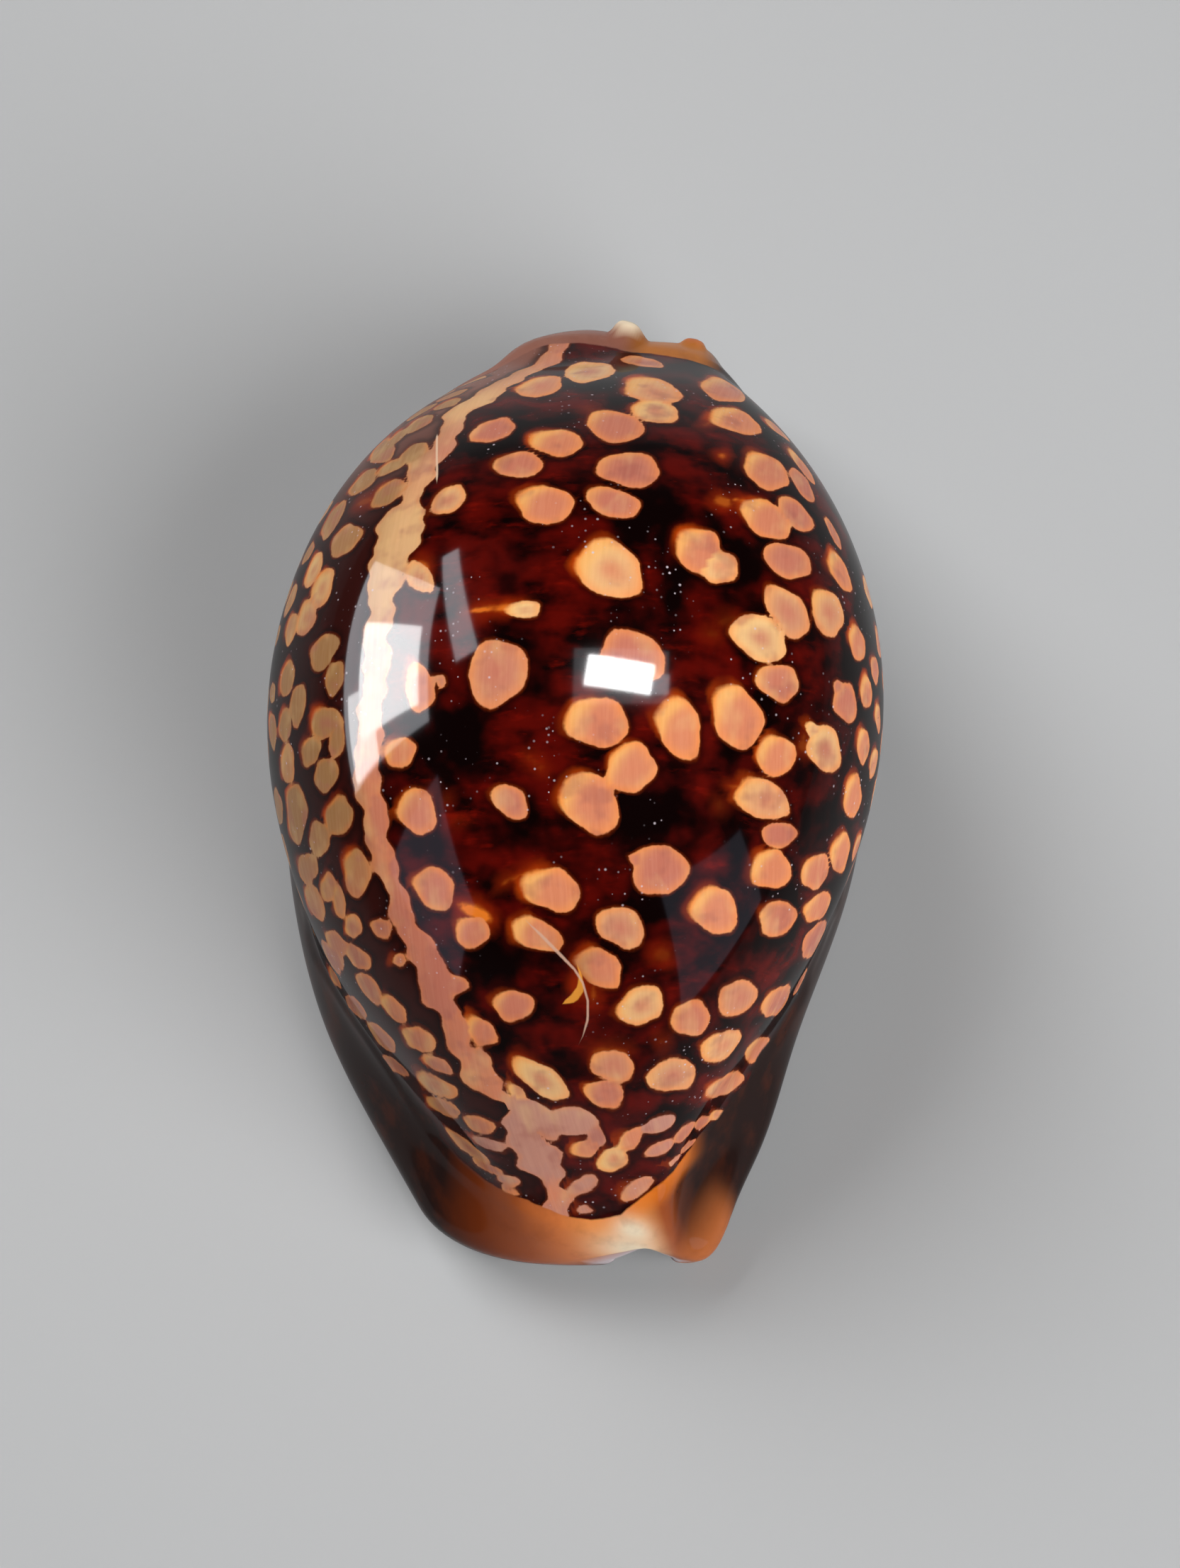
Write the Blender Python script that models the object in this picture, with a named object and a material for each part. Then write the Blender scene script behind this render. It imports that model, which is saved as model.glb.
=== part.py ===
"""Humped cowrie shell, lying on its base.

The shell grew as one wall, so it is one solid: a wall that goes up one side, over the
humped back, down the other side and in under the base, where its two toothed lips face
each other across a narrow slot.  +Y is the spire end, -Y the narrow front end, +Z the
humped back.  The outer lip is on -X and the pillar lip on +X.  Shape values are in mm.
"""
from math import cos, pi, radians, sin

import bmesh
import bpy
import numpy as np

MM = 0.001

# Driving sizes
HALF_LENGTH = 41.0
MARGIN_HEIGHT = 5.5         # height of the outermost line of the side margins
MARGIN_FOOT_HEIGHT = 1.65   # height at which the margin starts to turn in under the base
LIP_HEIGHT = 3.2            # height at which the two lips are closest
LIP_FOOT_HEIGHT = 0.6       # height of the lips' rounded lower edge
LIP_ROOF = 5.8              # height of the lips' inner edge
BASE_DIP = 0.3              # how far the base is drawn below the ground before it is flattened
TEETH = 23
TOOTH_DEPTH = 0.9
TOOTHED_FROM = -35.0
TOOTHED_TO = 36.0
STATIONS_PER_TOOTH = 4
STATIONS_PER_END = 6

# Base of each lip: distances from the lip or the margin, each with the largest share of the
# lip's width that it may take where the lip is narrow
LIP_FOOT = (1.3, 0.16)
BASE_BY_LIP = (4.0, 0.38)
BASE_BY_MARGIN = (5.2, 0.36)
MARGIN_FOOT = (1.5, 0.12)

# Arch of the back and of the hollow's roof, in degrees up from the foot of the arch
SHOULDER_ANGLES = (33, 61)
ROOF_ANGLE = 48
ARCH_FULLNESS = 0.92        # 1 is an ellipse, less is fuller

# Hollow: shares of its height and of the way out to its wall
WALL_FOOT = 0.3             # height at which the walls stand widest
FLOOR_RUN = 0.7             # way out at which the floor starts to turn up
FLOOR_RISE = 0.05
LIP_LEAN = 0.3              # how far the lip's inner edge leans back from the slot, in mm
FLOOR_STEP = 0.2            # least step up from the lip's inner edge to the floor, in mm

# How much each ring point follows the tips of the ends: 1 on the lips, 0 on the ridge
CREASE_SHARE = 0.9
HUMP_SHARE = 0.8
SHOULDER_SHARES = (0.6, 0.3)
ROOF_SHARE = 0.4

RING_WRAP = 3               # points repeated past the join, so that the ring closes smoothly
CHORD_POWER = 0.7           # how far a long step between points spreads the curve

# Plan of the shell: stations along its length, and what each line does there
STATIONS = (-41.0, -37.0, -31.0, -22.0, -10.0, 2.0, 14.0, 24.0, 31.0, 36.5, 41.0)
LINES = {
    # margins, crease above them and side of the hump
    "outer margin": (-10.5, -12.9, -16.4, -21.2, -24.6, -25.5, -23.8, -19.5, -14.4, -8.4, -1.4),
    "pillar margin": (12.4, 13.2, 15.9, 19.0, 23.4, 25.41, 24.4, 20.8, 17.0, 14.0, 12.8),
    "outer crease inset": (3.0, 3.8, 3.8, 2.4, 1.0, 0.6, 0.4, 0.5, 0.9, 1.2, 1.2),
    "pillar crease inset": (2.6, 3.6, 3.8, 1.8, 0.7, 0.5, 0.4, 0.5, 0.9, 1.2, 1.2),
    "crease height": (7.6, 8.4, 9.4, 10.6, 11.4, 12.0, 12.4, 12.8, 13.0, 12.0, 10.8),
    "outer hump inset": (5.6, 6.8, 6.4, 3.8, 0.9, -0.4, -0.4, 0.0, 0.8, 1.8, 2.2),
    "pillar hump inset": (3.8, 5.0, 5.8, 2.8, 0.5, -0.4, -0.4, 0.0, 0.8, 1.4, 1.6),
    "hump height": (8.6, 10.6, 13.6, 17.0, 19.2, 20.4, 20.8, 20.2, 18.2, 14.8, 11.8),
    # ridge of the back
    "ridge height": (9.6, 13.2, 21.0, 31.0, 38.4, 42.0, 41.4, 35.6, 27.4, 18.6, 12.8),
    "ridge line": (5.0, 4.0, 1.6, 0.2, -0.6, -0.6, 0.2, 1.8, 3.6, 5.4, 6.6),
    # slot between the lips
    "slot line": (6.2, 5.3, 3.4, 0.6, -1.5, -1.9, -0.6, 2.4, 5.2, 7.0, 7.5),
    "slot width": (2.6, 4.2, 4.6, 4.6, 4.5, 4.4, 4.3, 4.2, 4.0, 3.6, 3.2),
    # hollow inside
    "hollow left": (4.4, 1.8, -7.6, -15.8, -20.8, -22.4, -20.8, -16.0, -8.2, 3.4, 5.4),
    "hollow right": (7.6, 8.0, 8.8, 13.4, 18.6, 21.2, 20.8, 17.6, 13.2, 9.6, 9.4),
    "hollow floor": (6.0, 6.0, 6.4, 7.2, 7.6, 7.8, 7.8, 7.6, 7.2, 6.4, 6.2),
    "hollow roof": (7.4, 8.6, 16.6, 27.6, 35.4, 39.2, 38.6, 32.6, 23.2, 10.4, 8.4),
}

# Ends: length of the rounded part, how blunt it is, how thin its last edge gets, and how
# far back from the tip the outer lip, the canal's roof and the pillar lip each stop
FRONT_END = {"length": 5.0, "blunt": 2.4, "edge": 0.22, "back": (0.0, 1.0, 0.2)}
SPIRE_END = {"length": 4.0, "blunt": 2.0, "edge": 0.25, "back": (0.0, 1.2, 1.4)}
LOBE_INSET = {-1: (3.6, 1.8), 1: (1.5, 1.5)}    # tips' distance from the slot, outer and pillar
LOBE_HEIGHT = {-1: 5.2, 1: 9.4}

SHELL_COLOUR = (0.030, 0.006, 0.004, 1.0)
SHELL_ROUGHNESS = 0.12


def smooth_line(stations, values):
    """Return the natural cubic spline through the values at the stations, as a function."""
    at = np.asarray(stations, float)
    value = np.asarray(values, float)
    last = len(at) - 1
    step = np.diff(at)
    matrix = np.eye(last + 1)
    right = np.zeros_like(value)
    for i in range(1, last):
        matrix[i, i - 1:i + 2] = (step[i - 1], 2 * (step[i - 1] + step[i]), step[i])
        slope_after = (value[i + 1] - value[i]) / step[i]
        slope_before = (value[i] - value[i - 1]) / step[i - 1]
        right[i] = 6 * (slope_after - slope_before)
    bend = np.linalg.solve(matrix, right)

    def read(where):
        i = int(np.clip(np.searchsorted(at, where) - 1, 0, last - 1))
        before = where - at[i]
        after = at[i + 1] - where
        curve = (bend[i] * after ** 3 + bend[i + 1] * before ** 3) / (6 * step[i])
        line_after = (value[i] / step[i] - bend[i] * step[i] / 6) * after
        line_before = (value[i + 1] / step[i] - bend[i + 1] * step[i] / 6) * before
        return curve + line_after + line_before

    return read


PLAN = {name: smooth_line(STATIONS, values) for name, values in LINES.items()}


def tooth(y):
    """Height of the teeth's wave at y, from 0 between teeth to TOOTH_DEPTH on a crest."""
    if not TOOTHED_FROM <= y <= TOOTHED_TO:
        return 0.0
    pitch = (TOOTHED_TO - TOOTHED_FROM) / TEETH
    return TOOTH_DEPTH * 0.5 * (1 - cos(2 * pi * (y - TOOTHED_FROM) / pitch))


def arch(centre, foot, foot_height, top_height, angles):
    """Points of a quarter arch from a foot up towards the top above centre."""
    points = []
    for angle in angles:
        across = cos(radians(angle)) ** ARCH_FULLNESS
        up = sin(radians(angle)) ** ARCH_FULLNESS
        x = centre + (foot - centre) * across
        z = foot_height + (top_height - foot_height) * up
        points.append((x, z))
    return points


def within(size, width):
    """A (distance, share) size: the distance, or the share of the width where that is less."""
    distance, share = size
    return min(distance, width * share)


def outer_half(plan, sign, lip):
    """Outer points of one side, from its lip round the base and margin to the shoulder.

    Each point is x, height, side and the number of steps to the next point.  The side runs
    from -1 on the outer lip through 0 on the ridge to 1 on the pillar lip.
    """
    side_name = "outer" if sign < 0 else "pillar"
    margin = plan[side_name + " margin"]
    width = abs(margin - lip)
    crease_inset = plan[side_name + " crease inset"]
    side_foot = margin - sign * plan[side_name + " hump inset"]
    points = [
        (lip, LIP_HEIGHT, sign, 1),
        (lip + sign * within(LIP_FOOT, width), LIP_FOOT_HEIGHT, sign, 1),
        (lip + sign * within(BASE_BY_LIP, width), -BASE_DIP, sign, 1),
        (margin - sign * within(BASE_BY_MARGIN, width), -BASE_DIP, sign, 1),
        (margin - sign * within(MARGIN_FOOT, width), MARGIN_FOOT_HEIGHT, sign, 1),
        (margin, MARGIN_HEIGHT, sign, 2),
        (margin - sign * crease_inset, plan["crease height"], sign * CREASE_SHARE, 2),
        (side_foot, plan["hump height"], sign * HUMP_SHARE, 2),
    ]
    shoulders = arch(
        plan["ridge line"], side_foot, plan["hump height"], plan["ridge height"], SHOULDER_ANGLES)
    points += [(x, z, sign * share, 2) for (x, z), share in zip(shoulders, SHOULDER_SHARES)]
    return points


def inner_half(plan, sign, lip):
    """Inner points of one side, from its lip up the wall of the hollow to the shoulder."""
    wall = plan["hollow left"] if sign < 0 else plan["hollow right"]
    floor = plan["hollow floor"]
    rise = plan["hollow roof"] - floor
    foot = floor + rise * WALL_FOOT
    points = [
        (lip + sign * LIP_LEAN, min(LIP_ROOF, floor - FLOOR_STEP), sign, 1),
        (lip + (wall - lip) * FLOOR_RUN, floor + rise * FLOOR_RISE, sign, 1),
        (wall, foot, sign * HUMP_SHARE, 2),
    ]
    ((x, z),) = arch(plan["ridge line"], wall, foot, plan["hollow roof"], (ROOF_ANGLE,))
    points.append((x, z, sign * ROOF_SHARE, 1))
    return points


def turned(points):
    """The same points walked the other way, with the step counts moved to match."""
    counts = [point[3] for point in points]
    back = [point[:3] for point in reversed(points)]
    return [place + (count,) for place, count in zip(back, reversed([counts[-1]] + counts[:-1]))]


def section(y):
    """Closed ring of control points at a station, from the outer lip over the back and home."""
    plan = {name: float(line(y)) for name, line in PLAN.items()}
    half_gap = plan["slot width"] / 2 - tooth(y) / 2
    outer_lip = plan["slot line"] - half_gap
    pillar_lip = plan["slot line"] + half_gap
    ring = outer_half(plan, -1, outer_lip)
    ring.append((plan["ridge line"], plan["ridge height"], 0.0, 2))
    ring += turned(outer_half(plan, 1, pillar_lip))
    ring += inner_half(plan, 1, pillar_lip)
    ring.append((plan["ridge line"], plan["hollow roof"], 0.0, 2))
    ring += turned(inner_half(plan, -1, outer_lip))
    return plan, ring


def round_end(plan, ring, y):
    """Draw the ring in towards the end's two tips and the canal's roof as y nears the end."""
    end_sign = -1 if y < 0 else 1
    end = FRONT_END if y < 0 else SPIRE_END
    depth = (abs(y) - (HALF_LENGTH - end["length"])) / end["length"]
    depth = max(0.0, depth)
    keep = (1 - depth ** end["blunt"]) ** (1 / end["blunt"])
    keep = end["edge"] + (1 - end["edge"]) * keep
    outer_inset, pillar_inset = LOBE_INSET[end_sign]
    tips = {
        -1: (plan["slot line"] - plan["slot width"] / 2 - outer_inset, LOBE_HEIGHT[end_sign]),
        0: (plan["slot line"], (plan["ridge height"] + plan["hollow roof"]) / 2),
        1: (plan["slot line"] + plan["slot width"] / 2 + pillar_inset, LOBE_HEIGHT[end_sign]),
    }
    placed = []
    for x, z, side, count in ring:
        towards = -1 if side < 0 else 1
        share = abs(side)
        tip_x = tips[0][0] * (1 - share) + tips[towards][0] * share
        tip_z = tips[0][1] * (1 - share) + tips[towards][1] * share
        back = end["back"][1] * (1 - share) + end["back"][towards + 1] * share
        placed.append((
            tip_x + (x - tip_x) * keep,
            y - end_sign * back * depth ** 2,
            tip_z + (z - tip_z) * keep,
            count,
        ))
    return placed


def ring_points(y):
    """Points of the wall's ring at a station, smoothed, with the base flattened on z = 0."""
    plan, ring = section(y)
    placed = round_end(plan, ring, y)
    closed = placed + placed[:1]
    corners = np.array([point[:3] for point in closed])
    padded = np.vstack([corners[-1 - RING_WRAP:-1], corners, corners[1:1 + RING_WRAP]])
    chords = np.linalg.norm(np.diff(padded, axis=0), axis=1) ** CHORD_POWER
    run = np.concatenate([[0.0], np.cumsum(chords)])
    line = smooth_line(run, padded)
    points = []
    for i, point in enumerate(placed):
        start = run[i + RING_WRAP]
        length = run[i + RING_WRAP + 1] - start
        for step in range(point[3]):
            points.append(line(start + length * step / point[3]))
    for point in points:
        point[2] = max(point[2], 0.0)
    return points


def station_places():
    """Stations along the shell: evenly over the teeth, closer together in the rounded ends."""
    pitch = (TOOTHED_TO - TOOTHED_FROM) / TEETH
    count = TEETH * STATIONS_PER_TOOTH
    middle = [TOOTHED_FROM + pitch * i / STATIONS_PER_TOOTH for i in range(count + 1)]
    front = []
    spire = []
    for i in range(1, STATIONS_PER_END + 1):
        reach = sin(pi / 2 * i / STATIONS_PER_END)
        front.append(TOOTHED_FROM + (-HALF_LENGTH - TOOTHED_FROM) * reach)
        spire.append(TOOTHED_TO + (HALF_LENGTH - TOOTHED_TO) * reach)
    return front[::-1] + middle + spire


def place_ring(verts, points):
    for vert, point in zip(verts, points):
        vert.co = point * MM


def build_shell():
    """Extrude a ring along the shell, set each ring in its place and close the two ends."""
    bm = bmesh.new()
    rings = [ring_points(y) for y in station_places()]
    bmesh.ops.create_circle(bm, cap_ends=False, radius=1.0, segments=len(rings[0]))
    front_edge = list(bm.edges)
    place_ring(bm.verts, rings[0])
    edges = front_edge
    for ring in rings[1:]:
        made = bmesh.ops.extrude_edge_only(bm, edges=edges)["geom"]
        verts = [item for item in made if isinstance(item, bmesh.types.BMVert)]
        new = set(verts)
        edges = [item for item in made if isinstance(item, bmesh.types.BMEdge) and new.issuperset(item.verts)]
        place_ring(verts, ring)
    bmesh.ops.contextual_create(bm, geom=front_edge)
    bmesh.ops.contextual_create(bm, geom=edges)
    bmesh.ops.triangulate(bm, faces=bm.faces[:])
    bmesh.ops.recalc_face_normals(bm, faces=bm.faces[:])
    mesh = bpy.data.meshes.new("shell")
    bm.to_mesh(mesh)
    bm.free()
    mesh.shade_smooth()
    return bpy.data.objects.new("shell", mesh)


def shell_material():
    material = bpy.data.materials.new("glazed shell")
    material.use_nodes = True
    shader = material.node_tree.nodes["Principled BSDF"]
    shader.inputs["Base Color"].default_value = SHELL_COLOUR
    shader.inputs["Roughness"].default_value = SHELL_ROUGHNESS
    shader.inputs["Metallic"].default_value = 0.0
    return material


for old in list(bpy.data.objects):
    bpy.data.objects.remove(old)

shell = build_shell()
shell.data.materials.append(shell_material())
bpy.context.scene.collection.objects.link(shell)
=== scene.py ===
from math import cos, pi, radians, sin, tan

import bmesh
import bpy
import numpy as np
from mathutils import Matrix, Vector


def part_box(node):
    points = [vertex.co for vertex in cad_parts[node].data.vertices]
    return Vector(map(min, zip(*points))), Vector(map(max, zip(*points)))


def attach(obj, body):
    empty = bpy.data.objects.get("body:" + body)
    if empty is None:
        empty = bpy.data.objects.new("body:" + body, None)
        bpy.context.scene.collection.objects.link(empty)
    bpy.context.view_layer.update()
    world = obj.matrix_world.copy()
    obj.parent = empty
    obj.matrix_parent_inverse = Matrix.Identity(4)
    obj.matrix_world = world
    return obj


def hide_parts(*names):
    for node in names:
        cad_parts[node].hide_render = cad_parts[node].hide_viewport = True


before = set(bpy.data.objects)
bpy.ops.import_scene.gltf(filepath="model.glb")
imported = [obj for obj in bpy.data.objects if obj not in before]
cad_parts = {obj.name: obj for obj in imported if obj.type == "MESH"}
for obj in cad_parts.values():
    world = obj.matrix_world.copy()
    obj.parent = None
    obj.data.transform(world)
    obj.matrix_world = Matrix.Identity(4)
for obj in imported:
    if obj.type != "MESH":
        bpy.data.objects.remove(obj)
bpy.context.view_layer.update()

# A humped cowrie shell lying on its base, seen from above.  +Y is the spire end, -Y the
# narrow front end, +Z the hump.  The outer lip is on -X and the pillar lip on +X.
# Shape and pattern values are in mm; "girth" is mm round the back from the ridge, minus
# towards the outer lip's side, and "along" is mm from the middle towards the spire end.

MM = 0.001
shell_low, shell_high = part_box("shell")
HALF_LENGTH = (shell_high[1] - shell_low[1]) / 2 / MM

# ---------------------------------------------------------------- the shell's form

MARGIN_HEIGHT = 5.5         # height of the outermost line of the side margins
MARGIN_FOOT_HEIGHT = 1.65   # height at which the margin starts to turn in under the base
LIP_HEIGHT = 3.2            # height at which the two lips are closest
LIP_FOOT_HEIGHT = 0.6       # height of the lips' rounded lower edge
LIP_ROOF = 5.8              # height of the lips' inner edge
BASE_DIP = 0.3              # how far the base is drawn below the ground before it is flattened
TEETH = 23
TOOTH_DEPTH = 0.9
TOOTHED_FROM = -35.0
TOOTHED_TO = 36.0
STATIONS_PER_TOOTH = 11
STATIONS_PER_END = 20

# Steps round the ring, from a lip out to the ridge, and from a lip in to the roof of the hollow
BASE_STEPS = (6, 6, 9, 6, 6)
SIDE_STEPS = (10, 18, 28)
BACK_STEPS = (27, 27)
INNER_STEPS = (3, 3, 5, 5)
LIP_STEPS = 4

# Base of each lip: distances from the lip or the margin, each with the largest share of the
# lip's width that it may take where the lip is narrow
LIP_FOOT = (1.3, 0.16)
BASE_BY_LIP = (4.0, 0.38)
BASE_BY_MARGIN = (5.2, 0.36)
MARGIN_FOOT = (1.5, 0.12)

# Arch of the back and of the hollow's roof, in degrees up from the foot of the arch
SHOULDER_ANGLES = (33, 61)
ROOF_ANGLE = 48
ARCH_FULLNESS = 0.92        # 1 is an ellipse, less is fuller

# Hollow: shares of its height and of the way out to its wall
WALL_FOOT = 0.3             # height at which the walls stand widest
FLOOR_RUN = 0.7             # way out at which the floor starts to turn up
FLOOR_RISE = 0.05
LIP_LEAN = 0.3              # how far the lip's inner edge leans back from the slot, in mm
FLOOR_STEP = 0.2            # least step up from the lip's inner edge to the floor, in mm

# How much each ring point follows the tips of the ends: 1 on the lips, 0 on the ridge
CREASE_SHARE = 0.9
HUMP_SHARE = 0.8
SHOULDER_SHARES = (0.6, 0.3)
ROOF_SHARE = 0.4

TINY = 1e-9
RING_WRAP = 3               # points repeated past the join, so that the ring closes smoothly
CHORD_POWER = 0.7           # how far a long step between points spreads the curve

# Plan of the shell: stations along its length, and what each line does there
STATIONS = (-41.0, -37.0, -31.0, -22.0, -10.0, 2.0, 14.0, 24.0, 31.0, 36.5, 41.0)
LINES = {
    # margins, crease above them and side of the hump
    "outer margin": (-10.5, -12.9, -16.4, -21.2, -24.6, -25.5, -23.8, -19.5, -14.4, -8.4, -1.4),
    "pillar margin": (12.4, 13.2, 15.9, 19.0, 23.4, 25.41, 24.4, 20.8, 17.0, 14.0, 12.8),
    "outer crease inset": (3.0, 3.8, 3.8, 2.4, 1.0, 0.6, 0.4, 0.5, 0.9, 1.2, 1.2),
    "pillar crease inset": (2.6, 3.6, 3.8, 1.8, 0.7, 0.5, 0.4, 0.5, 0.9, 1.2, 1.2),
    "crease height": (7.6, 8.4, 9.4, 10.6, 11.4, 12.0, 12.4, 12.8, 13.0, 12.0, 10.8),
    "outer hump inset": (5.6, 6.8, 6.4, 3.8, 0.9, -0.4, -0.4, 0.0, 0.8, 1.8, 2.2),
    "pillar hump inset": (3.8, 5.0, 5.8, 2.8, 0.5, -0.4, -0.4, 0.0, 0.8, 1.4, 1.6),
    "hump height": (8.6, 10.6, 13.6, 17.0, 19.2, 20.4, 20.8, 20.2, 18.2, 14.8, 11.8),
    # ridge of the back
    "ridge height": (9.6, 13.2, 21.0, 31.0, 38.4, 42.0, 41.4, 35.6, 27.4, 18.6, 12.8),
    "ridge line": (5.0, 4.0, 1.6, 0.2, -0.6, -0.6, 0.2, 1.8, 3.6, 5.4, 6.6),
    # slot between the lips
    "slot line": (6.2, 5.3, 3.4, 0.6, -1.5, -1.9, -0.6, 2.4, 5.2, 7.0, 7.5),
    "slot width": (2.6, 4.2, 4.6, 4.6, 4.5, 4.4, 4.3, 4.2, 4.0, 3.6, 3.2),
    # hollow inside
    "hollow left": (4.4, 1.8, -7.6, -15.8, -20.8, -22.4, -20.8, -16.0, -8.2, 3.4, 5.4),
    "hollow right": (7.6, 8.0, 8.8, 13.4, 18.6, 21.2, 20.8, 17.6, 13.2, 9.6, 9.4),
    "hollow floor": (6.0, 6.0, 6.4, 7.2, 7.6, 7.8, 7.8, 7.6, 7.2, 6.4, 6.2),
    "hollow roof": (7.4, 8.6, 16.6, 27.6, 35.4, 39.2, 38.6, 32.6, 23.2, 10.4, 8.4),
}

# Ends: length of the rounded part, how blunt it is, how thin its last edge gets, and how
# far back from the tip the outer lip, the canal's roof and the pillar lip each stop
FRONT_END = {"length": 5.0, "blunt": 2.4, "edge": 0.22, "back": (0.0, 1.0, 0.2)}
SPIRE_END = {"length": 4.0, "blunt": 2.0, "edge": 0.25, "back": (0.0, 1.2, 1.4)}
LOBE_INSET = {-1: (3.6, 1.8), 1: (1.5, 1.5)}    # tips' distance from the slot, outer and pillar
LOBE_HEIGHT = {-1: 5.2, 1: 9.4}


def smooth_line(stations, values):
    """Return the natural cubic spline through the values at the stations, as a function."""
    at = np.asarray(stations, float)
    value = np.asarray(values, float)
    last = len(at) - 1
    step = np.diff(at)
    matrix = np.eye(last + 1)
    right = np.zeros_like(value)
    for i in range(1, last):
        matrix[i, i - 1:i + 2] = (step[i - 1], 2 * (step[i - 1] + step[i]), step[i])
        slope_after = (value[i + 1] - value[i]) / step[i]
        slope_before = (value[i] - value[i - 1]) / step[i - 1]
        right[i] = 6 * (slope_after - slope_before)
    bend = np.linalg.solve(matrix, right)

    def read(where):
        """Value of the spline at a place."""
        i = int(np.clip(np.searchsorted(at, where) - 1, 0, last - 1))
        before = where - at[i]
        after = at[i + 1] - where
        curve = (bend[i] * after ** 3 + bend[i + 1] * before ** 3) / (6 * step[i])
        line_after = (value[i] / step[i] - bend[i] * step[i] / 6) * after
        line_before = (value[i + 1] / step[i] - bend[i + 1] * step[i] / 6) * before
        return curve + line_after + line_before

    return read


PLAN = {name: smooth_line(STATIONS, values) for name, values in LINES.items()}


def tooth(y):
    """Height of the teeth's wave at y, from 0 between teeth to TOOTH_DEPTH on a crest."""
    if not TOOTHED_FROM <= y <= TOOTHED_TO:
        return 0.0
    pitch = (TOOTHED_TO - TOOTHED_FROM) / TEETH
    return TOOTH_DEPTH * 0.5 * (1 - cos(2 * pi * (y - TOOTHED_FROM) / pitch))


def arch(centre, foot, foot_height, top_height, angles):
    """Points of a quarter arch from a foot up towards the top above centre."""
    points = []
    for angle in angles:
        across = cos(radians(angle)) ** ARCH_FULLNESS
        up = sin(radians(angle)) ** ARCH_FULLNESS
        x = centre + (foot - centre) * across
        z = foot_height + (top_height - foot_height) * up
        points.append((x, z))
    return points


def within(size, width):
    """A (distance, share) size: the distance, or the share of the width where that is less."""
    distance, share = size
    return min(distance, width * share)


def outer_half(plan, sign, lip):
    """Outer points of one side, from its lip round the base and margin to the shoulder.

    Each point is x, height, side and the number of steps to the next point.  The side runs
    from -1 on the outer lip through 0 on the ridge to 1 on the pillar lip.
    """
    side_name = "outer" if sign < 0 else "pillar"
    margin = plan[side_name + " margin"]
    width = abs(margin - lip)
    crease_inset = plan[side_name + " crease inset"]
    side_foot = margin - sign * plan[side_name + " hump inset"]
    points = [
        (lip, LIP_HEIGHT, sign, BASE_STEPS[0]),
        (lip + sign * within(LIP_FOOT, width), LIP_FOOT_HEIGHT, sign, BASE_STEPS[1]),
        (lip + sign * within(BASE_BY_LIP, width), -BASE_DIP, sign, BASE_STEPS[2]),
        (margin - sign * within(BASE_BY_MARGIN, width), -BASE_DIP, sign, BASE_STEPS[3]),
        (margin - sign * within(MARGIN_FOOT, width), MARGIN_FOOT_HEIGHT, sign, BASE_STEPS[4]),
        (margin, MARGIN_HEIGHT, sign, SIDE_STEPS[0]),
        (margin - sign * crease_inset, plan["crease height"], sign * CREASE_SHARE, SIDE_STEPS[1]),
        (side_foot, plan["hump height"], sign * HUMP_SHARE, SIDE_STEPS[2]),
    ]
    shoulders = arch(
        plan["ridge line"], side_foot, plan["hump height"], plan["ridge height"], SHOULDER_ANGLES)
    for (x, z), share, steps in zip(shoulders, SHOULDER_SHARES, BACK_STEPS):
        points.append((x, z, sign * share, steps))
    return points


def inner_half(plan, sign, lip):
    """Inner points of one side, from its lip up the wall of the hollow to the shoulder."""
    wall = plan["hollow left"] if sign < 0 else plan["hollow right"]
    floor = plan["hollow floor"]
    rise = plan["hollow roof"] - floor
    foot = floor + rise * WALL_FOOT
    points = [
        (lip + sign * LIP_LEAN, min(LIP_ROOF, floor - FLOOR_STEP), sign, INNER_STEPS[0]),
        (lip + (wall - lip) * FLOOR_RUN, floor + rise * FLOOR_RISE, sign, INNER_STEPS[1]),
        (wall, foot, sign * HUMP_SHARE, INNER_STEPS[2]),
    ]
    ((x, z),) = arch(plan["ridge line"], wall, foot, plan["hollow roof"], (ROOF_ANGLE,))
    points.append((x, z, sign * ROOF_SHARE, INNER_STEPS[3]))
    return points


def turned(points):
    """The same points walked the other way, with the step counts moved to match."""
    counts = [LIP_STEPS] + [point[3] for point in points[:-1]]
    return [point[:3] + (count,) for point, count in zip(reversed(points), reversed(counts))]


def section(y):
    """Closed ring of control points at a station, from the outer lip over the back and home."""
    plan = {name: float(line(y)) for name, line in PLAN.items()}
    half_gap = plan["slot width"] / 2 - tooth(y) / 2
    outer_lip = plan["slot line"] - half_gap
    pillar_lip = plan["slot line"] + half_gap
    ring = outer_half(plan, -1, outer_lip)
    ring.append((plan["ridge line"], plan["ridge height"], 0.0, BACK_STEPS[1]))
    ring += turned(outer_half(plan, 1, pillar_lip))
    ring += inner_half(plan, 1, pillar_lip)
    ring.append((plan["ridge line"], plan["hollow roof"], 0.0, INNER_STEPS[3]))
    ring += turned(inner_half(plan, -1, outer_lip))
    return plan, ring


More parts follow.
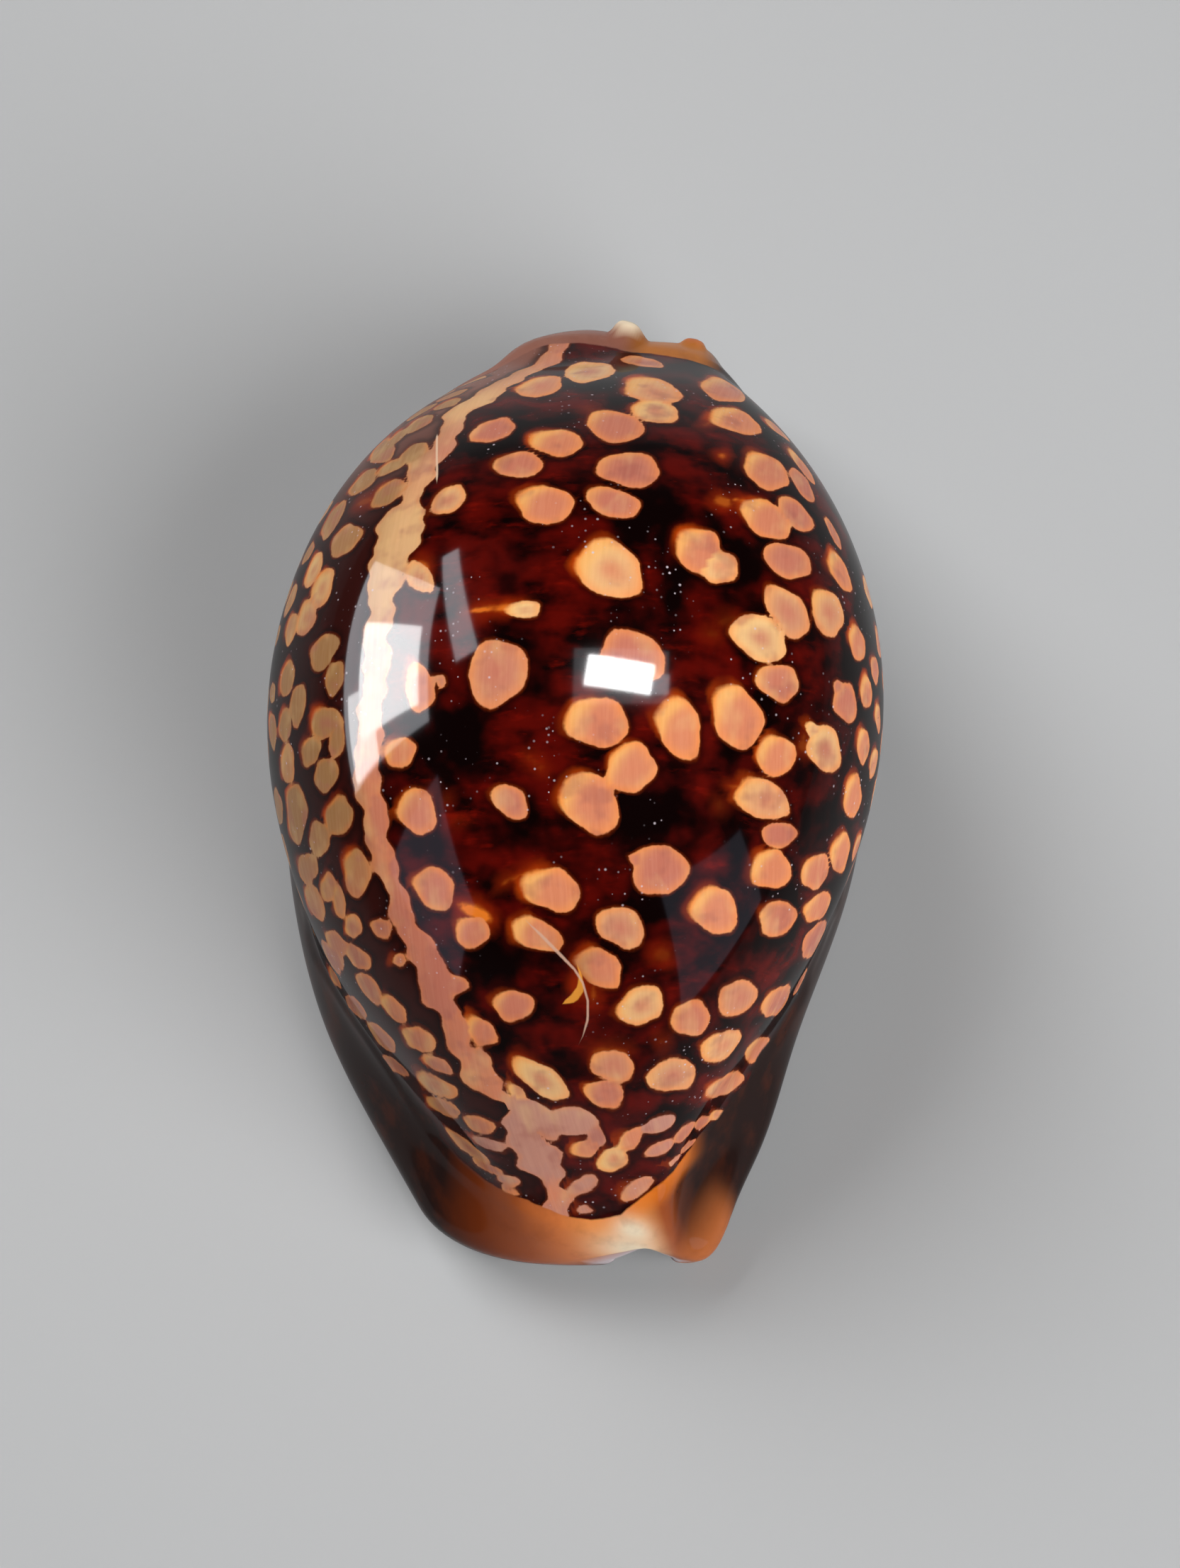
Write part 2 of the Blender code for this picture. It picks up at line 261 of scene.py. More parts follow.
def round_end(plan, ring, y):
    """Draw the ring in towards the end's two tips and the canal's roof as y nears the end."""
    end_sign = -1 if y < 0 else 1
    end = FRONT_END if y < 0 else SPIRE_END
    depth = (abs(y) - (HALF_LENGTH - end["length"])) / end["length"]
    depth = min(max(0.0, depth), 1.0)
    keep = (1 - depth ** end["blunt"]) ** (1 / end["blunt"])
    keep = end["edge"] + (1 - end["edge"]) * keep
    outer_inset, pillar_inset = LOBE_INSET[end_sign]
    tips = {
        -1: (plan["slot line"] - plan["slot width"] / 2 - outer_inset, LOBE_HEIGHT[end_sign]),
        0: (plan["slot line"], (plan["ridge height"] + plan["hollow roof"]) / 2),
        1: (plan["slot line"] + plan["slot width"] / 2 + pillar_inset, LOBE_HEIGHT[end_sign]),
    }
    placed = []
    for x, z, side, count in ring:
        towards = -1 if side < 0 else 1
        share = abs(side)
        tip_x = tips[0][0] * (1 - share) + tips[towards][0] * share
        tip_z = tips[0][1] * (1 - share) + tips[towards][1] * share
        back = end["back"][1] * (1 - share) + end["back"][towards + 1] * share
        placed.append((
            tip_x + (x - tip_x) * keep,
            y - end_sign * back * depth ** 2,
            tip_z + (z - tip_z) * keep,
            count,
        ))
    return placed


def ring_points(y):
    """Points of the wall's ring at a station, smoothed, with the base flattened on z = 0."""
    plan, ring = section(y)
    placed = round_end(plan, ring, y)
    closed = placed + placed[:1]
    corners = np.array([point[:3] for point in closed])
    padded = np.vstack([corners[-1 - RING_WRAP:-1], corners, corners[1:1 + RING_WRAP]])
    chords = np.linalg.norm(np.diff(padded, axis=0), axis=1) ** CHORD_POWER
    run = np.concatenate([[0.0], np.cumsum(chords)])
    line = smooth_line(run, padded)
    points = []
    for i, point in enumerate(placed):
        start = run[i + RING_WRAP]
        length = run[i + RING_WRAP + 1] - start
        for step in range(point[3]):
            points.append(line(start + length * step / point[3]))
    for point in points:
        point[2] = max(point[2], 0.0)
    return points


def station_places():
    """Stations along the shell: evenly over the teeth, closer together in the rounded ends."""
    pitch = (TOOTHED_TO - TOOTHED_FROM) / TEETH
    count = TEETH * STATIONS_PER_TOOTH
    middle = [TOOTHED_FROM + pitch * i / STATIONS_PER_TOOTH for i in range(count + 1)]
    front = []
    spire = []
    for i in range(1, STATIONS_PER_END + 1):
        reach = sin(pi / 2 * i / STATIONS_PER_END)
        front.append(TOOTHED_FROM + (-HALF_LENGTH - TOOTHED_FROM) * reach)
        spire.append(TOOTHED_TO + (HALF_LENGTH - TOOTHED_TO) * reach)
    return front[::-1] + middle + spire


STATION_PLACES = station_places()
GRID = np.array([ring_points(y) for y in STATION_PLACES])
RIDGE = sum(BASE_STEPS) + sum(SIDE_STEPS) + sum(BACK_STEPS)
OUTSIDE = 2 * RIDGE + 1      # columns from the outer lip over the back to the pillar lip


def facing(grid):
    """Outward unit normals of the grid's points."""
    across = np.roll(grid, -1, axis=1) - np.roll(grid, 1, axis=1)
    lengthways = np.gradient(grid, axis=0)
    normals = np.cross(across, lengthways)
    return normals / np.maximum(np.linalg.norm(normals, axis=2, keepdims=True), TINY)


def ramp(value, low, high):
    """Smooth step from 0 at low to 1 at high."""
    share = np.clip((value - low) / (high - low), 0, 1)
    return share * share * (3 - 2 * share)


# ---------------------------------------------------------------- places on the shell

# Edge of the pattern on the two ends, as girth and along: the glaze of the margins covers
# what lies beyond it
FRONT_EDGE = (
    (-40, -14), (-29, -22), (-24, -26.3), (-19.7, -30.1), (-15.9, -32.7), (-12.6, -34.6),
    (-7.8, -36.5), (-5.4, -37.6), (-3, -38), (-0.5, -37.6), (2.4, -36), (5.2, -34.6), (8.1, -33.4),
    (11.4, -32.2), (15, -30.8), (18.6, -29.4), (23.3, -27.5), (29, -24), (40, -15),
)
SPIRE_EDGE = (
    (-40, 15), (-30, 24), (-24, 28.5), (-18, 32.5), (-12, 35.6), (-8, 36.8), (-3, 36.9), (1, 36.6),
    (5, 35.8), (9, 34.6), (13, 33), (18, 30.6), (24, 27.4), (32, 21), (40, 14),
)
CREASE_GAP = 1.6            # how far above the crease the pattern stops
CREASE_FADE = 0.3           # how gently the margins' glaze thins out over the flanks
# Waves of that edge: size, waves per mm of length and start
CREASE_WAVES = ((1.1, 0.31, 1.0), (0.7, 0.74, 2.0), (0.35, 1.7, 0.4))
HOLLOW_PATTERN = -9.0       # distance inside the pattern that the hollow is given
FAR = 99.0                  # a distance or girth beyond any on the shell

ring_steps = np.linalg.norm(np.roll(GRID, -1, axis=1) - GRID, axis=2)
ring_run = np.cumsum(ring_steps, axis=1) - ring_steps
GIRTH = ring_run - ring_run[:, RIDGE:RIDGE + 1]
ALONG = np.repeat(GRID[:, RIDGE, 1][:, None], GRID.shape[1], axis=1)
HEIGHT = GRID[:, :, 2]
NORMALS = facing(GRID)
is_outside = np.zeros(GIRTH.shape, bool)
is_outside[:, :OUTSIDE] = True
crease_column = sum(BASE_STEPS) + SIDE_STEPS[0]
crease_left = GIRTH[:, crease_column:crease_column + 1]
crease_right = GIRTH[:, OUTSIDE - 1 - crease_column:OUTSIDE - crease_column]
from_lip = np.minimum(ring_run, ring_run[:, OUTSIDE - 1:OUTSIDE] - ring_run)
wave = np.array([tooth(y) / TOOTH_DEPTH for y in STATION_PLACES])[:, None]
toothed = np.array([TOOTHED_FROM <= y <= TOOTHED_TO for y in STATION_PLACES])[:, None]


def inside_edge(edge, sign):
    """Distance inside an edge that runs across the back, for girth and along of every point."""
    girths, alongs = np.array(edge, float).T
    limit = np.interp(GIRTH, girths, alongs)
    slope = (np.interp(GIRTH + 1, girths, alongs) - np.interp(GIRTH - 1, girths, alongs)) / 2
    return sign * (limit - ALONG) / np.sqrt(1 + slope ** 2)


inside_crease = np.minimum(GIRTH - crease_left, crease_right - GIRTH) - CREASE_GAP
for size, waves, start in CREASE_WAVES:
    inside_crease += size * np.sin(waves * ALONG + start + np.sign(GIRTH))
inside_crease *= CREASE_FADE
inside_ends = np.minimum(inside_edge(FRONT_EDGE, -1), inside_edge(SPIRE_EDGE, 1))
PATTERN = np.minimum(inside_ends, inside_crease)
PATTERN[~is_outside] = HOLLOW_PATTERN

# ---------------------------------------------------------------- the pattern

# Pale spots of the back: girth, along, half length, half width, turn in degrees, and tone
# from 0, thin and pink, to 1, thick and cream
BACK_SPOTS = (
    # spire end
    (0.8, 34.9, 2.3, 0.9, -24, 0.5), (-3.1, 32.8, 2.5, 2.0, -48, 0.75),
    (-6.4, 30.3, 2.1, 1.9, -30, 0.5), (3.3, 29.4, 3.0, 1.9, -32, 0.6),
    (4.2, 26.4, 2.2, 1.7, -20, 0.8), (9.5, 31.0, 2.8, 2.0, -30, 0.3),
    (11.5, 26.3, 2.7, 1.75, -18, 0.35), (1.4, 24.3, 2.8, 1.8, -25, 0.3),
    (3.4, 19.4, 2.8, 1.8, -14, 0.1), (2.6, 16.1, 2.4, 1.4, -18, 0.05),
    (15.3, 20.8, 2.7, 1.9, -25, 0.35), (19.4, 20.5, 2.3, 1.2, -42, 0.3),
    (19.7, 22.9, 2.7, 0.9, -42, 0.2), (15.8, 15.8, 2.8, 1.8, -22, 0.2),
    (18.6, 16.9, 2.3, 1.5, -30, 0.15), (23.9, 16.4, 2.0, 0.7, -47, 0.2),
    (-2.8, 15.9, 2.5, 1.85, -15, 0.15), (-8.7, 24.2, 2.0, 1.5, 20, 0.15),
    (-3.0, 22.3, 2.5, 1.5, -20, 0.35), (-5.6, 20.0, 2.1, 1.5, -10, 0.2),
    (-10.9, 16.9, 1.6, 1.4, 30, 0.7),
    # crown of the hump
    (18.0, 12.3, 2.5, 1.7, -8, 0.4), (24.5, 12.8, 2.4, 1.4, -38, 0.3),
    (2.9, 10.1, 3.0, 2.3, -30, 0.75), (10.0, 12.1, 2.1, 2.0, -35, 0.1),
    (11.7, 10.9, 1.9, 1.6, -20, 0.8), (18.2, 7.8, 2.7, 1.8, -35, 0.55),
    (22.7, 8.6, 2.3, 2.0, -25, 0.6), (15.7, 5.3, 2.8, 1.9, -18, 0.85),
    (17.5, 2.0, 2.1, 1.6, 0, 0.4), (27.2, 7.0, 1.8, 1.5, -35, 0.2),
    (25.4, 1.7, 1.9, 1.75, -20, 0.25), (24.3, 2.6, 1.0, 0.8, -10, 0.4),
    (29.1, 3.3, 1.5, 1.4, 0, 0.1), (13.9, -1.1, 2.6, 2.2, -45, 0.15),
    (17.5, -3.7, 2.1, 1.6, 10, 0.1), (22.8, -2.4, 2.3, 1.9, 0, 0.7),
    (21.3, -1.3, 1.1, 0.8, -10, 0.8), (29.1, -1.0, 1.5, 1.5, 0, 0.1),
    (28.1, -5.1, 2.1, 1.75, 0, 0.15), (2.5, -2.1, 2.6, 2.0, -15, 0.1),
    (9.0, -2.3, 2.5, 1.85, -65, 0.05), (5.1, 2.9, 2.8, 2.2, -25, 0.3),
    (5.1, -5.5, 2.2, 1.9, 20, 0.4), (1.9, -8.1, 2.7, 2.1, -35, 0.0),
    (-4.4, -8.0, 1.7, 1.2, -45, 0.4), (16.3, -7.1, 2.8, 1.6, -5, 0.6),
    (18.0, -9.5, 2.0, 1.1, 12, 0.05), (17.3, -12.1, 2.2, 1.6, 12, 0.2),
    (27.6, -9.4, 2.5, 1.6, 5, 0.1), (23.2, -11.5, 2.4, 1.4, 12, 0.35),
    (25.3, -13.7, 3.2, 1.2, 12, 0.1), (7.2, -12.9, 2.4, 2.0, 5, 0.1),
    (5.5, -12.3, 0.9, 0.7, -20, 0.4), (-5.5, 1.8, 2.5, 2.6, 0, 0.45),
    (-12.1, -8.3, 2.0, 1.6, -50, 0.1), (-11.0, -14.1, 1.9, 1.6, -50, 0.0),
    (-11.8, 1.0, 2.1, 1.3, -80, 0.2), (-10.1, 1.4, 0.7, 0.5, -60, 0.5),
    (-12.4, 10.0, 1.9, 1.0, -50, 0.7), (-13.5, -3.8, 1.6, 1.2, 0, 0.1),
    (-3.6, 6.7, 1.4, 0.8, 0, 0.9), (-1.5, -14.5, 2.5, 1.6, -8, 0.2),
    # front slope
    (-8.1, -17.4, 1.6, 1.2, 0, 0.1), (-2.9, -17.7, 2.2, 1.2, -22, 0.1),
    (3.8, -17.2, 2.1, 1.5, -10, 0.55), (1.9, -20.1, 2.0, 1.4, -20, 0.15),
    (-5.2, -22.7, 1.75, 1.2, 0, 0.0), (-8.1, -24.4, 1.5, 1.0, -25, 0.3),
    (5.1, -22.7, 2.1, 1.4, 20, 0.75), (9.5, -23.4, 2.0, 1.3, 5, 0.15),
    (14.5, -21.5, 2.7, 1.3, 10, 0.5), (13.3, -24.9, 3.3, 1.1, 15, 0.65),
    (11.8, -15.6, 2.3, 1.75, 0, 0.05), (18.5, -15.5, 2.5, 1.35, 12, 0.25),
    (28.0, -15.6, 4.5, 1.4, 10, 0.2), (23.5, -20.6, 5.0, 1.2, 8, 0.3),
    (24.5, -23.8, 4.6, 1.0, 9, 0.3), (17.9, -27.0, 5.8, 0.9, 11, 0.2),
    (2.4, -27.0, 2.0, 1.2, 0, 0.5), (1.4, -28.9, 1.8, 1.1, 0, 0.3), (7.6, -27.4, 2.5, 1.2, 12, 0.6),
    (-3.6, -27.9, 2.5, 1.2, -30, 0.8), (-5.8, -28.7, 0.9, 0.6, -35, 0.7),
    # blots and chains at the front end
    (-1.9, -30.9, 2.5, 1.2, 0, 0.1), (-1.3, -32.7, 1.5, 0.8, 15, 0.3),
    (-0.2, -31.9, 0.9, 1.0, 0, 0.2), (-4.0, -31.0, 1.3, 1.2, 0, 0.1),
    (-10.0, -21.1, 1.2, 0.8, 0, 0.2), (0.5, -33.5, 1.7, 0.9, 25, 0.8),
    (2.6, -32.1, 1.7, 0.7, 30, 0.3), (5.5, -31.0, 2.2, 0.6, 15, 0.1),
    (5.2, -32.6, 2.1, 0.55, 20, 0.2), (9.0, -31.2, 2.5, 0.65, 20, 0.3),
    (13.8, -30.0, 3.0, 0.55, 10, 0.3), (17.9, -29.1, 2.2, 0.45, 8, 0.6),
    (6.9, -33.3, 1.8, 0.35, 20, 0.2), (10.4, -32.0, 2.8, 0.35, 15, 0.3),
    (1.7, -35.6, 2.0, 0.6, 27, 0.2), (-2.8, -35.4, 1.7, 0.65, 22, 0.1),
    (-3.3, -37.1, 0.8, 0.4, 5, 0.1),
)

# Smaller and denser spots and blots of the outer lip's flank, in the same way
FLANK_SPOTS = (
    (-19.8, 24.3, 2.3, 1.3, -40, 0.2), (-18.4, 25.6, 1.2, 0.8, 30, 0.1),
    (-16.5, 26.6, 1.4, 0.9, 20, 0.1), (-15.3, 22.6, 1.3, 1.1, 0, 0.5),
    (-17.5, 21.6, 1.4, 0.7, 10, 0.4), (-20.6, 20.8, 1.6, 1.2, 20, 0.3),
    (-16.8, 18.6, 1.6, 1.15, 12, 0.5), (-23.7, 17.7, 1.8, 1.4, 45, 0.5),
    (-20.7, 14.8, 1.7, 1.4, 0, 0.6), (-24.8, 13.1, 1.6, 1.2, 80, 0.9),
    (-22.8, 10.9, 1.5, 1.6, 0, 0.9), (-24.7, 8.8, 1.5, 1.5, 0, 0.8), (-27.5, 8.5, 1.2, 1.3, 0, 0.7),
    (-27.3, 4.2, 1.4, 1.4, 0, 0.4), (-25.1, 1.6, 1.6, 1.2, 80, 0.5), (-21.6, 5.2, 1.6, 1.3, 0, 0.5),
    (-20.1, 2.8, 1.3, 0.9, 80, 0.5), (-21.0, -0.6, 1.8, 1.2, 0, 0.6),
    (-19.7, -2.0, 1.5, 0.8, 80, 0.6), (-23.0, -2.4, 1.3, 1.0, 0, 0.3),
    (-21.1, -4.5, 1.4, 1.2, 0, 0.3), (-27.5, 0.5, 1.4, 1.2, 0, 0.3),
    (-27.3, -2.6, 1.4, 1.5, 0, 0.7), (-26.6, -6.5, 2.2, 2.1, 0, 0.2),
    (-22.8, -9.1, 1.6, 1.2, 0, 0.3), (-19.9, -7.9, 1.7, 1.2, 15, 0.4),
    (-26.1, -10.8, 2.6, 1.0, 0, 0.3), (-18.4, -12.3, 1.5, 1.6, 0, 0.4),
    (-22.6, -12.8, 1.5, 1.0, 10, 0.5), (-21.3, -14.0, 1.0, 1.3, 0, 0.5),
    (-26.5, -13.2, 2.6, 1.2, -20, 0.2), (-20.0, -15.9, 1.3, 0.9, 0, 0.6),
    (-16.4, -16.5, 1.1, 0.7, -15, 0.3), (-15.0, -18.9, 0.65, 0.45, 0, 0.2),
    (-24.0, -16.6, 3.0, 0.9, -15, 0.2), (-20.5, -18.0, 2.2, 0.9, -22, 0.4),
    (-27.0, -17.1, 3.8, 1.1, -12, 0.2), (-32.0, -17.8, 3.0, 0.8, -12, 0.2),
    (-20.0, -20.3, 2.2, 1.0, -25, 0.4), (-17.0, -22.1, 2.0, 0.8, -25, 0.2),
    (-27.5, -20.6, 4.2, 0.8, -12, 0.3), (-23.0, -23.3, 3.6, 1.0, -14, 0.3),
    (-14.6, -24.5, 2.3, 0.85, -18, 0.3), (-13.1, -26.3, 1.9, 0.6, -18, 0.1),
    (-23.6, -25.2, 3.2, 0.6, -14, 0.3), (-14.8, -27.6, 3.7, 0.8, -14, 0.6),
    (-15.4, -29.0, 3.5, 0.7, -12, 0.5), (-10.3, -30.8, 1.8, 0.65, -15, 0.4),
    (-10.0, -32.1, 2.0, 0.45, -12, 0.1), (-13.7, -32.1, 3.8, 0.6, -25, 0.6),
    (-11.5, -33.7, 2.4, 0.45, -18, 0.4), (-9.3, -34.8, 1.3, 0.45, -10, 0.1),
    (-9.3, -35.6, 1.1, 0.3, -10, 0.4),
)

# Line where the two sides of the mantle met: girth, along, half width and tone
MANTLE_LINE = (
    (-6.6, 36.6, 0.8, 0.5), (-7.9, 34.8, 1.0, 0.5), (-9.0, 32.8, 1.1, 0.6), (-10.2, 30.7, 1.1, 0.7),
    (-11.2, 28.9, 1.5, 0.9), (-12.7, 26.9, 1.2, 0.8), (-12.6, 24.8, 1.0, 0.6),
    (-12.9, 22.3, 1.3, 0.5), (-14.0, 20.6, 1.5, 0.7), (-14.3, 18.5, 1.0, 0.7),
    (-14.3, 16.6, 1.1, 0.8), (-14.8, 15.0, 2.3, 1.0), (-15.2, 13.2, 2.1, 0.9),
    (-15.5, 10.6, 1.8, 1.0), (-15.8, 8.3, 1.3, 0.9), (-15.8, 4.5, 1.3, 0.4), (-16.0, 0.5, 1.2, 0.2),
    (-16.5, -2.7, 1.3, 0.2), (-16.6, -5.0, 1.4, 0.3), (-16.3, -7.0, 1.3, 0.2),
    (-16.0, -8.9, 1.2, 0.2), (-15.4, -11.2, 1.2, 0.1), (-14.8, -13.6, 0.9, 0.1),
    (-14.0, -15.8, 1.1, 0.1), (-13.2, -17.7, 1.2, 0.1), (-12.2, -19.6, 1.4, 0.2),
    (-11.5, -21.1, 1.7, 0.2), (-11.0, -22.5, 1.1, 0.2), (-10.5, -24.4, 1.2, 0.2),
    (-9.9, -25.8, 1.0, 0.2), (-8.9, -26.9, 1.6, 0.5), (-7.9, -28.3, 1.0, 0.4),
    (-6.9, -29.6, 0.9, 0.2), (-5.7, -31.0, 1.6, 0.0), (-5.7, -32.7, 2.0, 0.0),
    (-5.6, -34.1, 1.5, 0.1), (-5.6, -35.8, 0.9, 0.3), (-5.3, -37.3, 1.3, 0.2),
)

# Amber smears, where the pale layer thins out under the dark one, in the same way as the
# spots, but with a strength in place of the tone
AMBER_MARKS = (
    (-6.2, 6.9, 2.2, 0.6, 3, 0.9), (-1.2, 26.4, 0.9, 0.7, -45, 0.4), (10.9, 21.6, 0.7, 0.6, 0, 0.9),
    (11.6, 16.8, 1.3, 0.9, -10, 0.7), (13.0, 17.1, 1.2, 0.6, -5, 0.9),
    (8.9, 25.2, 0.9, 0.6, 40, 0.5), (-12.3, 10.9, 1.1, 0.8, -40, 0.9),
    (-12.6, 25.6, 0.6, 1.0, 0, 0.5), (-7.7, -16.0, 1.8, 0.9, -25, 1.0),
    (-4.6, -13.7, 1.3, 0.5, 20, 0.6), (0.5, -21.6, 0.8, 0.6, -60, 0.6),
    (0.6, -19.3, 0.5, 0.7, 10, 0.6), (12.4, -7.9, 0.8, 0.8, 0, 0.3),
    (13.6, -6.4, 0.9, 0.4, 10, 0.7), (-8.8, -9.3, 0.9, 0.5, 0, 0.25),
    (-2.4, -5.2, 1.3, 0.6, -40, 0.35), (6.8, -25.1, 0.8, 0.5, 0, 0.5),
    (12.8, 6.4, 1.4, 0.8, 20, 0.3), (11.5, 5.2, 1.0, 0.7, 0, 0.3), (-10.9, -7.2, 0.8, 0.9, 0, 0.25),
    (2.3, -26.0, 1.9, 0.7, 0, 0.5), (-2.9, -13.3, 1.6, 0.6, 5, 0.7), (20.3, -2.0, 0.8, 0.8, 0, 0.5),
    (-19.3, 18.3, 1.4, 0.9, 0, 0.5), (-9.6, -7.6, 0.7, 0.6, 0, 0.3),
    (-4.6, -26.9, 1.2, 0.7, -30, 0.7), (1.2, -21.9, 0.7, 1.0, 0, 0.6),
    (0.3, -20.9, 0.5, 1.4, -10, 0.7), (20.4, -2.6, 1.2, 0.9, 0, 0.5),
    (7.0, -19.0, 1.1, 0.9, 0, 0.4),
)

# Growth scar, as girth and along: a thin raised thread and the crescent beside it, the middle
# of the painted light round the crescent, and the middle of the stain with its two reaches
SCAR_THREAD = (
    (-4.4, -16.0), (-2.7, -17.6), (-1.1, -19.2), (-0.1, -20.2), (0.5, -21.2), (0.8, -22.4),
    (0.7, -23.7), (0.2, -24.9), (-0.5, -26.0),
)
SCAR_CRESCENT = ((0.0, -19.4), (0.35, -20.6), (0.3, -21.6), (-0.3, -22.3), (-1.3, -22.7))
SCAR_PAINTED_LIGHT = (0.1, -21.4)
SCAR_STAIN = (-1.5, -21.8, 2.2, 3.0)
SCRATCH = ((-13.8, 24.8), (-13.2, 22.6), (-12.6, 20.3), (-12.2, 18.4))
THREAD_WIDTH = 0.14         # half widths; the thread is wider near its start
THREAD_SWELL = 0.04
CRESCENT_WIDTH = 0.36
SCRATCH_WIDTH = 0.15

# How marks are drawn
JOIN = 0.5                  # how softly neighbouring marks run together
SEAM_DEPTH = 0.20           # dark seam where two spots touch, and the reach of it
SEAM_REACH = 0.5
NO_SPOT = -4.0              # distance inside a mark that places far from every mark are given
OVAL_WAVES = ((2, 0.04), (3, 0.055), (5, 0.035))    # waves round an oval: count and size
LEAST_FALL = 1e-6
BLUSH_RANGE = (0.15, 1.0)
# The lit side is painted light: each spot is painted paler towards this one direction, and the
# ground darker on its far side.
LIT_SIDE = (-0.8, 0.55)     # direction, in girth and along, of a spot's lit side
PLAIN_TONE = 0.3
PLAIN_BLUSH = 0.5
# Lumps of the line's edges: size, waves per mm of length, offset between its sides, and start
LUMPS = ((0.17, 1.17, 1.7, 0.0), (0.16, 2.03, 0.9, 1.0), (0.11, 3.71, 2.1, 0.0))
FRONT_LUMPS = 1.6           # how much larger they get at the front end
LINE_OUT = 0.4              # how far out in a spot the line's tint is taken from

# Spots scattered over the flanks: the zones left for them, as from and to in girth and then
# in along, and the ranges of their sizes in mm, of their shape and of their turn in degrees
BARE_ZONES = (
    (-FAR, -30.5, -FAR, FAR), (30.5, FAR, -FAR, FAR), (12, FAR, 27, FAR), (-FAR, -14, 27, FAR),
    (-FAR, -26, 11, FAR), (-FAR, -29, -FAR, -14),
)
SCATTER_TRIES = 2500
SCATTER_INSIDE = 0.45       # least distance inside the pattern
SCATTER_LENGTH = (1.5, 2.7)
SCATTER_ROUNDNESS = (0.62, 0.92)
SCATTER_TURN = (-40, 40)
SCATTER_TONE = (0, 0.8)
TONE_POWER = 1.5
SCATTER_GAP = (0.35, 0.8)
SCATTER_SCALE = {-1: 0.72, 1: 0.9}    # on the outer lip's side and on the pillar lip's side
SCATTER_DEPTH = 4.0         # how far off a spot's plane its oval still shows
FLANK_SWELL = 0.25          # how much the flank's spots run together


def oval(across, up, half_length, half_width, starts):
    """Distance inside an uneven oval, minus outside, and how far out each point lies in it."""
    angle = np.arctan2(up / half_width, across / half_length)
    out = np.hypot(across / half_length, up / half_width)
    for (count, size), start in zip(OVAL_WAVES, starts):
        out = out * (1 + size * np.cos(count * angle + start))
    fall = np.hypot(across / half_length ** 2, up / half_width ** 2)
    return out * (1 - out) / np.maximum(fall, LEAST_FALL), out


def on_segment(start, end):
    """Every point's place along a segment from 0 to 1, distance off it and side of it."""
    girth_run = end[0] - start[0]
    along_run = end[1] - start[1]
    place = (GIRTH - start[0]) * girth_run + (ALONG - start[1]) * along_run
    place = np.clip(place / (girth_run ** 2 + along_run ** 2), 0, 1)
    away = np.hypot(GIRTH - start[0] - place * girth_run, ALONG - start[1] - place * along_run)
    side = np.sign((GIRTH - start[0]) * along_run - (ALONG - start[1]) * girth_run)
    return place, away, side


def join(before, added):
    """Run two fields of distances softly together."""
    share = np.clip(0.5 + 0.5 * (added - before) / JOIN, 0, 1)
    return before * (1 - share) + added * share + JOIN * share * (1 - share)


class Marks:
    """Fields of one kind of mark: distance inside it, tone, blush, lit side for painted light, and
    way out.
    """

    def __init__(self, seed):
        self.inside = np.full(GIRTH.shape, NO_SPOT)
        self.tone = np.full(GIRTH.shape, PLAIN_TONE)
        self.blush = np.full(GIRTH.shape, PLAIN_BLUSH)
        self.lit = np.zeros(GIRTH.shape)
        self.out = np.ones(GIRTH.shape)
        self.random = np.random.default_rng(seed)

    def add(self, across, up, half_length, half_width, turn, tone):
        """Add one oval, with across and up measured from its middle."""
        size = max(half_length, half_width)
        reach = size - NO_SPOT
        near = (np.abs(across) < reach) & (np.abs(up) < reach) & is_outside
        a = across[near]
        b = up[near]
        c = cos(radians(turn))
        s = sin(radians(turn))
        starts = [self.random.uniform(0, 2 * pi) for _ in OVAL_WAVES]
        blush = self.random.uniform(*BLUSH_RANGE)
        inside, out = oval(a * c + b * s, b * c - a * s, half_length, half_width, starts)
        before = self.inside[near]
        nearer = inside > before
        seam = SEAM_DEPTH * np.exp(-((inside - before) / SEAM_REACH) ** 2)
        self.inside[near] = join(before, inside) - seam
        # Painted light: how far each point lies towards the spot's lit side, scaled by its blush.
        lit = blush * (a * LIT_SIDE[0] + b * LIT_SIDE[1]) / size
        fields = ((self.tone, tone), (self.blush, blush), (self.lit, lit), (self.out, out))
        for field, value in fields:
            field[near] = np.where(nearer, value, field[near])

    def add_spot(self, spot):
        """Add one row of a table of spots."""
        girth, along, half_length, half_width, turn, tone = spot
        self.add(GIRTH - girth, ALONG - along, half_length, half_width, turn, tone)

    def add_line(self, line):
        """Add a band along a line of girth, along, half width and tone."""
        best = np.full(GIRTH.shape, NO_SPOT)
        tone = np.zeros(GIRTH.shape)
        for start, end in zip(line[:-1], line[1:]):
            place, away, side = on_segment(start, end)
            lumps = 0
            for size, waves, turn, begin in LUMPS:
                lumps = lumps + size * np.sin(waves * ALONG + turn * side + begin)
            lumps *= 1 + FRONT_LUMPS * ramp(-ALONG, 26, 31)
            inside = start[2] + place * (end[2] - start[2]) + lumps - away
            nearer = inside > best
            best = np.where(nearer, inside, best)
            tone = np.where(nearer, start[3] + place * (end[3] - start[3]), tone)
        best[~is_outside] = NO_SPOT
        nearer = best > self.inside
        self.inside = join(self.inside, best)
        self.tone = np.where(nearer, tone, self.tone)
        self.lit = np.where(nearer, 0.0, self.lit)
        self.out = np.where(nearer, LINE_OUT, self.out)


def nearest(girth, along):
    """Grid index of the point at a girth and an along."""
    away = np.where(is_outside, np.hypot(GIRTH - girth, ALONG - along), np.inf)
    return np.unravel_index(np.argmin(away), away.shape)


